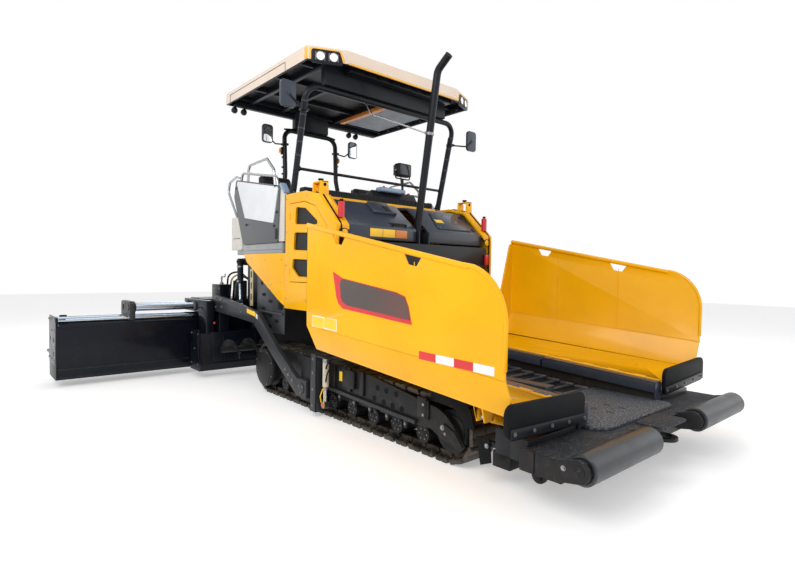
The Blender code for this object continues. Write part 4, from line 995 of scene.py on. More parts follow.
def makeLid(side):
    room = Room("hood_lid_right")
    bm = cadCopy("hood_lid_right", 0.008, 3)
    foot = Vector((0.0, axleY + hoodPlan["foot"][0], hoodPlan["foot"][1]))
    middle = (room.x0 + room.x1) / 2
    part = bmesh.new()
    if side == "right":
        # recessed pull handle with its bracket, warning plates below, raised vent with a black square
        addBox(part, (middle + 0.13, 0.030, -0.001), (middle + 0.37, 0.10, 0.003), 0.001, 1)
        addPipe(part, [(middle + 0.15, 0.040, 0.0), (middle + 0.155, 0.035, 0.030),
            (middle + 0.345, 0.035, 0.030), (middle + 0.35, 0.040, 0.0)], 0.010, 0.014, 1)
        addPrism(part, [(middle, 0.27), (middle + 0.36, 0.27), (middle + 0.33, 0.495),
            (middle + 0.03, 0.495)], "Z", -0.01, 0.034, 0, 0.008, 3)
        addBox(part, (middle + 0.20, 0.30, 0.030), (middle + 0.30, 0.42, 0.037), 0.002, 1)
        for x in (middle - 0.40, middle - 0.38):
            addPrism(part, [(x, 0.02), (x + 0.014, 0.02), (x + 0.014, 0.48), (x, 0.48)], "Z", -0.004, 0.003,
                0, 0.002)
    else:
        # bolted cover plate with a rubber edge, and a blank label
        outline = softLoop([(middle - 0.36, 0.05), (middle + 0.30, 0.05), (middle + 0.18, 0.44),
            (middle - 0.30, 0.44)], 0.03)
        addPrism(part, outline, "Z", -0.01, 0.003, 1, 0.001)
        inner = softLoop([(middle - 0.345, 0.063), (middle + 0.28, 0.063), (middle + 0.168, 0.427),
            (middle - 0.287, 0.427)], 0.025)
        addPrism(part, inner, "Z", -0.01, 0.010, 0, 0.004)
        for x, y in ((-0.30, 0.09), (0.22, 0.09), (0.13, 0.40), (-0.25, 0.40), (-0.04, 0.09),
                (-0.06, 0.40)):
            addBolt(part, (middle + x, y, 0.010), (0, 0, 1), 0.007, 2)
        addBox(part, (middle + 0.06, 0.20, 0.009), (middle + 0.20, 0.27, 0.0115), 0.001, 3)
        for y in (0.10, 0.40):
            addBox(part, (middle - 0.43, y - 0.03, -0.002), (middle - 0.40, y + 0.03, 0.008), 0.003, 1)
        flipSide(part)
        flipSide(bm)
    laid(bm, part, foot, hoodPlan["slope"])
    front = room.y0
    sign = 1 if side == "left" else -1
    low = sign * abs(room.x1)
    high = sign * abs(room.x0)
    # rubber foot seal and hinges behind
    addBox(bm, (low, front - 0.002, room.z0 + 0.002), (high, front + 0.004, room.z0 + 0.016), 0.002, 1)
    for x in (low + sign * 0.16, high - sign * 0.16):
        addRod(bm, (x - 0.05, room.y1 - 0.006, room.z1 + 0.002),
            (x + 0.05, room.y1 - 0.006, room.z1 + 0.002), 0.010, 14, 1)
    if side == "right":
        for index, finish in enumerate((3, 3, 4)):
            x = room.x0 + 0.30 + index * 0.185
            addBox(bm, (x, front - 0.003, 1.985), (x + 0.178, front + 0.001, 2.075), 0.001, finish)
    skin(f"hood_lid_{side}", bm, ["hood", "plastic", "zinc", "label", "orange"])


cheek = {"canLow": 2.195, "canHigh": 2.325}


def makeCover(side):
    room = Room("side_cover_right")
    bm = cadCopy("side_cover_right", 0.010, 3)
    outer = room.x0
    front = room.y0
    # rubber seam round the cheek
    seam = [(1.594, 1.60), (1.594, 2.09), (1.960, 2.442), (2.25, 2.502), (2.60, 2.502)]
    addPipe(bm, [(outer + 0.062, y, z) for y, z in behind(seam)], 0.0105, 0.10, 1, 5)
    # lifting lugs: bracket with a window, holes filled with black plugs as painted shade, and a black knob
    y0, y1 = axleY + 1.945, axleY + 2.125
    for y in (y0, y1 - 0.014):
        plate = [(outer + 0.02, 2.36), (outer + 0.135, 2.36), (outer + 0.125, 2.585), (outer + 0.03, 2.585)]
        addPrism(bm, plate, "Y", y, y + 0.014, 0, 0.003)
        addTurned(bm, (outer + 0.077, y - 0.001, 2.545), (0, 1, 0),
            [(0.0, 0.0), (0.0, 0.020), (0.016, 0.020), (0.016, 0.0)], 16, 1)
    addBox(bm, (outer + 0.03, y0, 2.570), (outer + 0.125, y1, 2.586), 0.004)
    addRod(bm, (outer + 0.08, (y0 + y1) / 2, 2.585), (outer + 0.08, (y0 + y1) / 2, 2.61), 0.022, 16, 1)
    addRod(bm, (outer + 0.08, (y0 + y1) / 2, 2.605), (outer + 0.08, (y0 + y1) / 2, 2.618), 0.032, 16, 1)
    # beacon can with its black cap on the slope, and a blank round badge on the nose
    y = axleY + 1.655
    x = outer + 0.10
    addTurned(bm, (x, y, cheek["canLow"] - 0.03), (0, 0, 1),
        [(0, 0), (0, 0.036), (0.16, 0.036), (0.168, 0.032), (0.168, 0.0)], 24, 2)
    addTurned(bm, (x, y, cheek["canHigh"] + 0.008), (0, 0, 1),
        [(0, 0), (0, 0.016), (0.012, 0.016), (0.014, 0.022), (0.026, 0.022), (0.028, 0.0)], 18, 1)
    badge = (outer + 0.105, front - 0.0005, 2.00)
    addTurned(bm, badge, (0, -1, 0), [(0.0, 0.0), (0.002, 0.0), (0.002, 0.050), (0.0, 0.052)], 28, 3)
    addTurned(bm, badge, (0, -1, 0), [(0.0, 0.0), (0.003, 0.0), (0.003, 0.040), (0.002, 0.041)], 28, 0)
    # panel screws and the rear shut line
    for y, z in behind([(2.66, 2.44), (2.66, 2.05), (2.66, 1.65), (2.66, 1.25), (2.20, 2.44), (1.70, 1.30),
            (2.20, 1.25)]):
        addTurned(bm, (outer - 0.0005, y, z), (-1, 0, 0), [(0.0, 0.010), (0.003, 0.008), (0.004, 0.0)], 12,
            4)
    addBox(bm, (outer - 0.002, room.y1 - 0.016, 1.80), (outer + 0.02, room.y1 - 0.010, 2.49), 0.001, 1)
    skin(f"side_cover_{side}", hand(bm, side), ["yellow", "rubber", "red", "dark", "zinc"])


grilles = (((2.44, 2.335), (2.215, 2.305), (1.875, 2.09), (2.455, 2.125)),
           ((2.47, 2.04), (1.86, 2.01), (1.86, 1.80), (2.49, 1.825)),
           ((2.50, 1.73), (1.86, 1.71), (1.86, 1.51), (2.38, 1.515), (2.52, 1.62)))


def makeDoor(side):
    room = Room("engine_door_right")
    bm = bmesh.new()
    outer = room.x0
    outline = behind([(1.786, 1.456), (1.786, 2.082), (2.017, 2.306), (2.25, 2.374), (2.574, 2.374),
        (2.574, 1.456)])
    windows = [softLoop(behind(each), 0.030, 4) for each in grilles]
    addSheet(bm, softLoop(outline, 0.02, 3), windows, "X", outer, outer + 0.024, 0, 0.007, 3)
    # vent mesh plate behind the windows, its holes painted near-black as shade
    addPrism(bm, outline, "X", outer + 0.024, outer + 0.030, 1)
    # pressed frame round each window
    for window in windows:
        loop = [Vector((outer + 0.001, y, z)) for y, z in window]
        addPipe(bm, loop + loop[:1], 0.006, 0.004, 0, 1)
    # hinge knuckles and the lock
    for z in (1.58, 2.23):
        addRod(bm, (outer - 0.001, room.y1 - 0.010, z - 0.04), (outer - 0.001, room.y1 - 0.010, z + 0.04),
            0.007, 14)
    addTurned(bm, (outer, axleY + 1.835, 1.86), (-1, 0, 0), [(0, 0.026), (0.003, 0.024), (0.003, 0.012),
        (-0.002, 0.010), (-0.002, 0.0)], 20, 2)
    skin(f"engine_door_{side}", hand(bm, side), ["yellow", "mesh", "plastic"])


cowl = {"ribs": 84, "low": 2.455, "high": 2.522, "ribTop": 2.605}


def makeCowl():
    room = Room("cowl_bar")
    bm = cadCopy("cowl_bar", 0.008, 3)
    # yellow edge bar behind the lids, and the ribbed black strip standing on it
    y = room.y0 + 0.034
    addBox(bm, (room.x0 - 0.015, y, cowl["low"]), (room.x1 + 0.015, y + 0.050, cowl["high"]), 0.010, 0, 3)
    addBox(bm, (room.x0 + 0.01, y + 0.045, cowl["low"]),
        (room.x1 - 0.01, y + 0.150, cowl["ribTop"] - 0.015), 0.01, 1)
    step = (room.x1 - room.x0 - 0.04) / cowl["ribs"]
    for index in range(cowl["ribs"]):
        x = room.x0 + 0.02 + index * step
        addBox(bm, (x + step * 0.15, y + 0.036, cowl["low"] + 0.01),
            (x + step * 0.75, y + 0.160, cowl["ribTop"]), 0.004, 1, 1)
    skin("cowl_bar", bm, ["yellow", "plastic"])


exhaust = {"radius": 0.045, "clamp": (1.545, 3.24), "roofEnd": (-0.42, 2.42, 3.90),
    "roofTurn": (-0.40, 2.15, 3.52)}


def makeExhaust():
    room = Room("exhaust_stack")
    bm = bmesh.new()
    tip = Vector((0.0, axleY + 1.24, 4.08))
    elbow = Vector((0.0, axleY + 1.42, 3.95))
    points = [(0.0, axleY + 1.735, room.z0), (0.0, axleY + 1.735, room.z0 + 0.10), elbow, tip]
    addPipe(bm, points, exhaust["radius"], 0.12, 0, 8, False, 8)
    ahead = (tip - elbow).normalized()
    addTurned(bm, tip, ahead, [(-0.004, exhaust["radius"]), (0.001, exhaust["radius"] + 0.001),
        (0.001, 0.040), (-0.05, 0.040)], 32, 0)
    # black disc across the mouth: painted shade standing in for the dark inside of the pipe
    addTurned(bm, tip, ahead, [(0.0008, 0.0), (0.0008, 0.0405)], 32, 1)
    # clamp band and the bent brace up to the roof
    y, z = exhaust["clamp"]
    along = Vector((0.0, -0.315, 2.02)).normalized()
    middle = Vector((0.0, axleY + y - 0.005, z))
    addTurned(bm, middle, along, [(-0.016, 0.044), (-0.016, 0.049), (0.016, 0.049), (0.016, 0.044)], 32, 2)
    addBox(bm, middle + Vector((-0.075, -0.008, -0.014)), middle + Vector((-0.044, 0.008, 0.014)), 0.003, 2)
    addBox(bm, middle + Vector((0.044, -0.008, -0.014)), middle + Vector((0.070, 0.008, 0.014)), 0.003, 2)
    addBolt(bm, middle + Vector((-0.062, -0.008, 0.0)), (0, -1, 0), 0.007, 2)
    x, y, z = exhaust["roofTurn"]
    turn = (x, axleY + y, z)
    x, y, z = exhaust["roofEnd"]
    roof = (x, axleY + y, z)
    addPipe(bm, [middle + Vector((-0.06, 0.004, 0.0)), turn, roof], 0.010, 0.05, 3)
    addBox(bm, Vector(roof) + Vector((-0.03, -0.03, -0.01)), Vector(roof) + Vector((0.03, 0.03, 0.004)),
        0.003, 2)
    # foot flange with bolts
    foot = (0.0, axleY + 1.735, room.z0)
    addTurned(bm, foot, (0, 0, 1), [(0, 0.045), (0, 0.066), (0.012, 0.066), (0.016, 0.047)], 24, 0)
    skin("exhaust_stack", bm, ["dark", "rubber", "zinc", "stainless"])


for side in sides:
    makeLid(side)
    makeCover(side)
    makeDoor(side)
makeCowl()
makeExhaust()
print("hood made")


# canopy, hoops and mirrors
roof = {"front": 1.95, "corner": 2.13, "low": 3.93, "high": 4.09, "nose": 0.90,
        "lampRadius": 0.052, "beaconRadius": 0.045}


def roundLamp(bm, place, ahead, radius, body, glass):
    # round lamp with a finned body, bezel and glass
    addTurned(bm, place, ahead, [(-0.055, 0.0), (-0.055, radius * 0.6), (-0.02, radius * 0.95),
        (0.0, radius), (0.008, radius), (0.008, radius * 0.86), (0.004, radius * 0.84)], 24, body)
    addTurned(bm, place, ahead, [(0.003, radius * 0.86), (0.006, radius * 0.6), (0.008, 0.0)], 24, glass)


def makeCanopy():
    room = Room("canopy")
    bm = cadCopy("canopy", 0.010, 3)
    half, high = room.x1, room.z1
    low = high - (roof["high"] - roof["low"])
    front, corner, rear = axleY + roof["front"], axleY + roof["corner"], room.y1
    bm.normal_update()
    for face in bm.faces:
        place = face.calc_center_median()
        slantFront = corner + (front - corner) * (half - abs(place.x)) / (half - roof["nose"])
        inside = abs(place.x) < half - 0.012 and max(slantFront, front) + 0.012 < place.y < rear - 0.012
        if face.normal.z < -0.3 or (inside and place.z < high - 0.004) or place.z < roof["low"] - 0.002:
            face.material_index = 1
    # yellow lip along the front, and yellow corner posts
    addBox(bm, (-roof["nose"] + 0.01, front - 0.004, low + 0.001), (roof["nose"] - 0.01, front + 0.012,
        low + 0.026), 0.004, 2)
    for side in (-1, 1):
        addBox(bm, (side * (half - 0.03), corner - 0.003, low + 0.005),
            (side * (half + 0.003), corner + 0.055, high - 0.02), 0.006, 2)
        # pressed line on the side panel, drawn dark: painted shade of the crease
        line = behind([(2.62, roof["low"] + 0.004), (2.62, 4.035), (4.20, 4.035),
            (4.20, roof["low"] + 0.004)])
        addPipe(bm, [(side * (half + 0.0005), y, z) for y, z in line], 0.0035, 0.01, 1, 2)
        # lamp recess on the slanted corner
        ahead = Vector((side * (corner - front), -(half - roof["nose"]), 0.0)).normalized()
        across = Vector((side * (half - roof["nose"]), corner - front, 0.0)).normalized()
        start = Vector((side * roof["nose"], front, 0.0))
        length = math.hypot(half - roof["nose"], corner - front)
        top = high - 0.035
        begin = start + across * length * 0.10 + ahead * 0.001
        panel = bmesh.new()
        loop = softLoop([(0.0, low - 0.03), (length * 0.80, low - 0.03), (length * 0.80, top), (0.05, top)],
            0.03, 3)
        addPrism(panel, loop, "Y", -0.004, 0.012, 1, 0.002)
        edge = softLoop([(-0.022, low + 0.002), (length * 0.80 + 0.022, low + 0.002),
            (length * 0.80 + 0.022, top + 0.014), (0.034, top + 0.014)], 0.03, 3)
        addPrism(panel, edge, "Y", -0.0022, 0.004, 2, 0.001)
        turn = Matrix.Translation(begin) @ Matrix(((across.x, -ahead.x, 0, 0), (across.y, -ahead.y, 0, 0),
            (0, 0, 1, 0), (0, 0, 0, 1)))
        bmesh.ops.transform(panel, matrix=turn, verts=panel.verts[:])
        bmesh.ops.recalc_face_normals(panel, faces=panel.faces[:])
        merge(bm, panel)
        for share in (0.36, 0.68):
            place = start + across * length * share + ahead * 0.012 + Vector((0.0, 0.0, low + 0.048))
            roundLamp(bm, place, ahead, roof["lampRadius"], 3, 4)
            for shift in (-1, 1):
                post = place + across * shift * 0.05 - ahead * 0.010
                addRod(bm, post + Vector((0, 0, 0.045)), post + Vector((0, 0, -0.045)), 0.006, 8, 3)
    # round work lamps hanging from the rear edge
    for x in (-1.22, -1.08, 0.78, 0.92):
        place = Vector((x, rear - 0.06, low - 0.058))
        addRod(bm, place + Vector((0, 0, 0.03)), place + Vector((0, 0, 0.07)), 0.010, 10, 1)
        roundLamp(bm, place + Vector((0.0, 0.02, 0.0)), (0.2, 1, -0.2), roof["beaconRadius"], 1, 4)
    # liner: lengthways frames, cross frames, rails and the front equipment box
    roofUnder = high - 0.035
    addPrism(bm, behind([(2.16, roofUnder), (4.30, roofUnder), (4.30, roofUnder - 0.012),
        (2.16, roofUnder - 0.012)]), "X", -1.27, 1.27, 5)
    for x in (-1.02, -0.52, 0.40):
        addBox(bm, (x - 0.03, axleY + 2.20, low + 0.035), (x + 0.03, axleY + 4.28, roofUnder - 0.010),
            0.006, 1)
    for y in (2.42, 3.02, 3.62, 4.14):
        addBox(bm, (-1.27, axleY + y, low + 0.055), (1.27, axleY + y + 0.045, roofUnder - 0.010), 0.005, 1)
    addBox(bm, (0.36, axleY + 2.62, low - 0.012), (0.44, axleY + 3.95, low + 0.040), 0.005, 6)
    addBox(bm, (-0.75, axleY + 2.10, low - 0.002), (0.95, axleY + 2.22, low + 0.070), 0.012, 1)
    for index in range(9):
        x = -0.68 + index * 0.19
        addBox(bm, (x, axleY + 2.094, low + 0.006), (x + 0.11, axleY + 2.104, low + 0.050), 0.003, 5)
    addBox(bm, (-1.26, axleY + 4.20, low - 0.025), (1.26, axleY + 4.24, low + 0.06), 0.006, 1)
    # ribbed light panel on the left
    count = 44
    for index in range(count):
        y = axleY + 2.50 + index * (1.55 / count)
        addPrism(bm, [(y, low + 0.052), (y + 0.030, low + 0.052), (y + 0.026, low + 0.044),
            (y + 0.004, low + 0.044)], "X", 0.50, 1.22, 7)
    # roof grab pad and bolts along the eaves
    for side in (-1, 1):
        for index in range(8):
            y = axleY + 2.30 + index * 0.26
            addBolt(bm, (side * (half - 0.045), y, low + 0.030), (0, 0, -1), 0.007, 3)
            addBox(bm, (side * (half - 0.07), y - 0.02, low + 0.030),
                (side * (half - 0.02), y + 0.02, low + 0.040), 0.002, 1)
    skin("canopy", bm, ["cream", "dark", "canopyEdge", "zinc", "lamp", "plastic", "orange", "shade"])


def makeMirror(bm, x, y, z, stem, width, height, glassSide):
    # housing with a rounded back, glass with a thin rim, bent arm and clamps
    plan = softLoop([(x - width / 2, z - height / 2), (x + width / 2, z - height / 2),
        (x + width / 2, z + height / 2), (x - width / 2, z + height / 2)], 0.045, 5)
    addPrism(bm, plan, "Y", y - 0.019, y + 0.019, 1, 0.012, 3)
    inner = softLoop([(x - width / 2 + 0.014, z - height / 2 + 0.014),
        (x + width / 2 - 0.014, z - height / 2 + 0.014), (x + width / 2 - 0.014, z + height / 2 - 0.014),
        (x - width / 2 + 0.014, z + height / 2 - 0.014)], 0.035, 5)
    addPrism(bm, inner, "Y", y + glassSide * 0.015, y + glassSide * 0.0205, 2, 0.002)
    back = y - glassSide * 0.025
    out = 1 if x > 0 else -1
    elbow = Vector((stem[0] + (x - stem[0]) * 0.55, back, stem[2] - 0.02))
    addPipe(bm, [stem, elbow, (x - out * 0.02, back, z - 0.02), (x - out * 0.005, back, z)], 0.0105, 0.05,
        0, 5)
    addTurned(bm, (x - out * 0.005, back - glassSide * 0.006, z), (0, glassSide, 0),
        [(0, 0), (0, 0.022), (0.012, 0.026), (0.016, 0.0)], 18, 1)
    addBox(bm, Vector(stem) - Vector((0.045, 0.045, 0.016)), Vector(stem) + Vector((0.045, 0.045, 0.016)),
        0.006, 0)


def makeHoops():
    room = Room("front_hoop")
    top = room.z1 - 0.0345
    foot = room.z0 + 0.008
    half = 1.22
    bm = bmesh.new()
    points = [(-half, 2.60, foot), (-half, 2.31, top), (half, 2.31, top), (half, 2.60, foot)]
    addPipe(bm, [(x, axleY + y, z) for x, y, z in points], 0.035, 0.16, 0, 8, False, 5)
    share = (2.80 - foot) / (top - foot)
    railY = axleY + 2.60 + (2.31 - 2.60) * share
    addRod(bm, (-half, railY, 2.80), (half, railY, 2.80), 0.018, 20)
    for side in (-1, 1):
        addBox(bm, (side * (half - 0.08), axleY + 2.53, room.z0), (side * (half + 0.04), axleY + 2.67,
            room.z0 + 0.015), 0.004)
        for x, y in ((-0.06, -0.05), (0.02, -0.05), (-0.06, 0.05), (0.02, 0.05)):
            addBolt(bm, (side * (half + x), axleY + 2.60 + y, room.z0 + 0.015), (0, 0, 1), 0.008, 3)
        # gusset, rail socket, cable clips and a hose down the leg
        addPrism(bm, behind([(2.60, foot), (2.70, foot), (2.60, foot + 0.16)]), "X", side * half - 0.006,
            side * half + 0.006, 0, 0.002)
        addRod(bm, (side * (half - 0.045), railY, 2.80), (side * (half - 0.02), railY, 2.80), 0.032, 20)
        for index in range(5):
            z = 2.95 + index * 0.15
            y = axleY + 2.60 - 0.29 * (z - foot) / (top - foot)
            addTurned(bm, (side * half, y, z), (0, -0.23, 1), [(-0.008, 0.035), (-0.008, 0.038),
                (0.008, 0.038), (0.008, 0.035)], 20, 1)
        hose = [(side * (half - 0.041), axleY + 2.60 - 0.29 * s + 0.01, foot + (top - foot) * s)
            for s in (0.04, 0.3, 0.6, 0.86)]
        addPipe(bm, hose, 0.007, 0.02, 1)
        makeMirror(bm, side * 1.51, axleY + 2.22, 3.53, (side * half, axleY + 2.36, 3.45), 0.19, 0.29, 1)
    skin("front_hoop", bm, ["dark", "hood", "mirror", "zinc"])
    room = Room("rear_hoop")
    foot = room.z0 + 0.008
    half = 0.46
    bm = bmesh.new()
    points = [(-half - 0.16, 4.05, foot), (-half, 4.20, 3.05), (-half, 4.24, top), (half, 4.24, top),
        (half, 4.20, 3.05), (half + 0.16, 4.05, foot)]
    addPipe(bm, [(x, axleY + y, z) for x, y, z in points], 0.035, 0.14, 0, 8, False, 5)
    for side in (-1, 1):
        x = side * (half + 0.16)
        addBox(bm, (x - 0.06, axleY + 3.98, room.z0), (x + 0.06, axleY + 4.12, room.z0 + 0.015), 0.004)
        for dx, dy in ((-0.04, -0.05), (0.04, -0.05), (-0.04, 0.05), (0.04, 0.05)):
            addBolt(bm, (x + dx, axleY + 4.05 + dy, room.z0 + 0.015), (0, 0, 1), 0.008, 3)
        makeMirror(bm, side * 0.77, axleY + 4.18, 3.60, (side * half, axleY + 4.22, 3.50), 0.17, 0.27, -1)
        # small amber lamps with their brackets
        addBox(bm, (side * (half + 0.03), axleY + 4.215, 3.345), (side * (half + 0.055), axleY + 4.255,
            3.455), 0.004, 0)
        addTurned(bm, (side * (half + 0.072), axleY + 4.235, 3.365), (0, 0, 1),
            [(0, 0), (0, 0.020), (0.055, 0.020), (0.068, 0.012), (0.070, 0.0)], 18, 4)
        for z in (3.15, 3.05, 3.30):
            addBox(bm, (side * (half + 0.028), axleY + 4.20, z - 0.012),
                (side * (half + 0.05), axleY + 4.23, z + 0.012), 0.003, 0)
        addRod(bm, (side * half, axleY + 4.24, top + 0.005), (side * half * 0.6, axleY + 4.24, top + 0.03),
            0.014, 12)
    skin("rear_hoop", bm, ["dark", "hood", "mirror", "zinc", "amberLens"])


makeCanopy()
makeHoops()
print("canopy and hoops made")


# operator's deck
def makeDeck():
    room = Room("operator_platform")
    bm = cadCopy("operator_platform", 0.006)
    bm.normal_update()
    for face in bm.faces:
        if face.normal.z > 0.7:
            face.material_index = 1
    # folded seam and bolts along the edge beams
    for side in (-1, 1):
        edge = side * room.x1
        addBox(bm, (edge - side * 0.004, room.y0 + 0.01, room.z0 + 0.042),
            (edge + side * 0.002, axleY + 3.86, room.z0 + 0.046), 0.001, 2)
        for index in range(4):
            addBolt(bm, (edge, room.y0 + 0.12 + index * 0.28, room.z0 + 0.085), (side, 0, 0), 0.006, 0)
        # pale locker behind the side wall
        locker = softLoop(behind([(3.93, 1.86), (3.93, 2.20), (3.98, 2.30), (4.27, 2.33), (4.27, 1.86)]),
            0.03, 3)
        addPrism(bm, locker, "X", side * 1.112, side * 1.262, 3, 0.012, 3)
        addBox(bm, (side * 1.262, axleY + 3.99, 2.02), (side * 1.267, axleY + 4.21, 2.026), 0.001, 2)
    skin("operator_platform", bm, ["beamGrey", "deck", "dark", "beige"])


def makeWall(side):
    outer = Room("side_wall_right").x0
    foot = Room("operator_platform").z1
    bm = bmesh.new()
    border = behind([(2.84, foot), (2.80, 2.62), (4.08, 2.84), (4.14, 2.60), (3.84, foot)])
    addPrism(bm, softLoop(border, 0.05, 4), "X", outer, outer + 0.09, 1, 0.010, 3)
    panel = behind([(2.95, 2.17), (2.83, 2.605), (4.045, 2.815), (3.76, 2.285)])
    addPrism(bm, softLoop(panel, 0.03, 3), "X", outer - 0.012, outer + 0.03, 0, 0.008, 3)
    inside = behind([(2.88, 2.00), (2.86, 2.58), (4.06, 2.79), (3.82, 2.00)])
    addPrism(bm, softLoop(inside, 0.03, 3), "X", outer + 0.085, outer + 0.096, 3, 0.004)
    # black clips, latch block and beige gap panel with its pale top
    for y, z in behind([(2.93, 2.135), (2.905, 2.62), (3.72, 2.19), (4.06, 2.72), (2.86, 2.30)]):
        addTurned(bm, (outer - 0.006, y, z), (-1, 0, 0), [(0, 0.016), (0.008, 0.015), (0.010, 0.0)], 16, 2)
    addPrism(bm, behind([(2.90, 2.10), (2.845, 2.10), (2.845, 1.97), (2.90, 1.97)]), "X", outer - 0.010,
        outer + 0.02, 2, 0.003)
    addPrism(bm, behind([(2.705, 1.94), (2.705, 2.53), (2.80, 2.60), (2.838, 1.94)]), "X", outer + 0.012,
        outer + 0.045, 3, 0.003)
    addPrism(bm, behind([(2.705, 2.515), (2.705, 2.54), (2.80, 2.655), (2.815, 2.63), (2.80, 2.60)]), "X",
        outer + 0.004, outer + 0.09, 4, 0.003)
    # stainless rails
    x = outer + 0.05
    for points in ([(x, 4.06, 2.60), (x, 3.98, 2.93), (x, 2.98, 2.76), (x, 2.92, 2.58)],
            [(x, 3.80, 2.70), (x, 3.78, 3.00), (x, 3.25, 3.02), (x, 3.05, 2.85), (x, 3.00, 2.60)],
            [(x, 4.02, 2.86), (x, 4.16, 2.90), (x, 4.42, 2.84), (x, 4.44, 2.70), (x, 4.12, 2.30),
            (x, 3.96, 2.24)]):
        addPipe(bm, [(a, axleY + b, c) for a, b, c in points], 0.0185, 0.08, 5, 6, False, 4)
    for y, z in behind([(4.05, 2.66), (2.925, 2.60), (3.80, 2.74), (3.01, 2.64)]):
        addTurned(bm, (x, y, z - 0.02), (0, 0, 1), [(0, 0.0), (0, 0.028), (0.03, 0.028), (0.034, 0.0)], 18,
            2)
    skin(f"side_wall_{side}", hand(bm, side), ["white", "grey", "plastic", "beige", "paleBlue",
        "stainless"])


def makeSkirt(side):
    room = Room("side_skirt_right")
    outer = room.x0
    bm = cadCopy("side_skirt_right", 0.005)
    for face in bm.faces:
        place = face.calc_center_median()
        if place.x > outer + 0.0295 and place.z < 1.60:
            face.material_index = 1
    # slotted step sheet: its slots are black capsules, painted shade of the openings
    sheet = outer + 0.0342
    rows = ((3.36, 1.42), (3.30, 1.27), (3.12, 1.19), (3.32, 1.09), (3.12, 1.01), (3.34, 0.93),
        (3.14, 0.87), (2.95, 0.95))
    for index, (y, z) in enumerate(rows):
        loop = capsule(axleY + y, z, 0.062 if index == 0 else 0.11, 0.06 if index == 0 else 0.042)
        addPrism(bm, loop, "X", sheet, sheet + 0.004, 2)
    addBox(bm, (sheet - 0.012, axleY + 2.80, 1.10), (sheet, axleY + 2.90, 1.30), 0.004, 2)
    addPrism(bm, behind([(2.78, 1.06), (3.44, 1.06), (3.49, 1.04), (3.49, 1.035), (2.78, 1.035)]), "X",
        sheet - 0.02, sheet + 0.01, 1, 0.002)
    # slotted bracket behind it, its slots painted black as shade
    bar = outer + 0.015
    addPrism(bm, softLoop(behind([(3.60, 1.10), (3.68, 1.10), (3.68, 1.60), (3.60, 1.60)]), 0.01, 2), "X",
        bar, bar + 0.012, 3, 0.002)
    for z in (1.18, 1.33, 1.48):
        loop = softLoop(behind([(3.625, z), (3.655, z), (3.655, z + 0.09), (3.625, z + 0.09)]), 0.012, 3)
        addPrism(bm, loop, "X", bar - 0.0012, bar + 0.002, 2)
    # edge fold, fixings and the rear crease
    addPipe(bm, [(outer + 0.004, y, z)
        for y, z in behind([(2.73, 1.175), (2.85, 1.228), (3.75, 1.692), (3.835, 1.79)])], 0.006, 0.03, 0,
        3)
    for y, z in behind([(2.78, 1.72), (2.78, 1.45), (3.20, 1.72), (3.60, 1.74), (3.05, 1.40),
            (2.78, 1.25)]):
        addTurned(bm, (outer - 0.0005, y, z), (-1, 0, 0), [(0.0, 0.010), (0.003, 0.008), (0.004, 0.0)], 12,
            4)
    skin(f"side_skirt_{side}", hand(bm, side), ["yellow", "roller", "rubber", "beigeSteel", "zinc"])


def cushion(low, high, edge, crown, segments=10):
    # a stuffed block: rounded edges, crowned top and pulled-in seams
    bm = bmesh.new()
    lo, hi = Vector(low), Vector(high)
    size = hi - lo
    bmesh.ops.create_cube(bm, size=1.0)
    bmesh.ops.subdivide_edges(bm, edges=bm.edges[:], cuts=segments, use_grid_fill=True)
    bmesh.ops.scale(bm, vec=size, verts=bm.verts[:])
    half = size / 2
    for v in bm.verts:
        inner = Vector([max(-h + edge, min(h - edge, c)) for h, c in zip(half, v.co)])
        away = v.co - inner
        if away.length > 1e-6:
            v.co = inner + away.normalized() * edge
        spanX = 1.0 - (v.co.x / half.x) ** 2
        spanY = 1.0 - (v.co.y / half.y) ** 2
        lift = crown * max(0.0, spanX) ** 0.6 * max(0.0, spanY) ** 0.6
        groove = 0.006 * max(0.0, 1.0 - abs(abs(v.co.x) - half.x * 0.52) / 0.018)
        if v.co.z > half.z - edge * 0.9:
            v.co.z += lift - groove
    bmesh.ops.translate(bm, vec=(lo + hi) / 2, verts=bm.verts[:])
    return bm


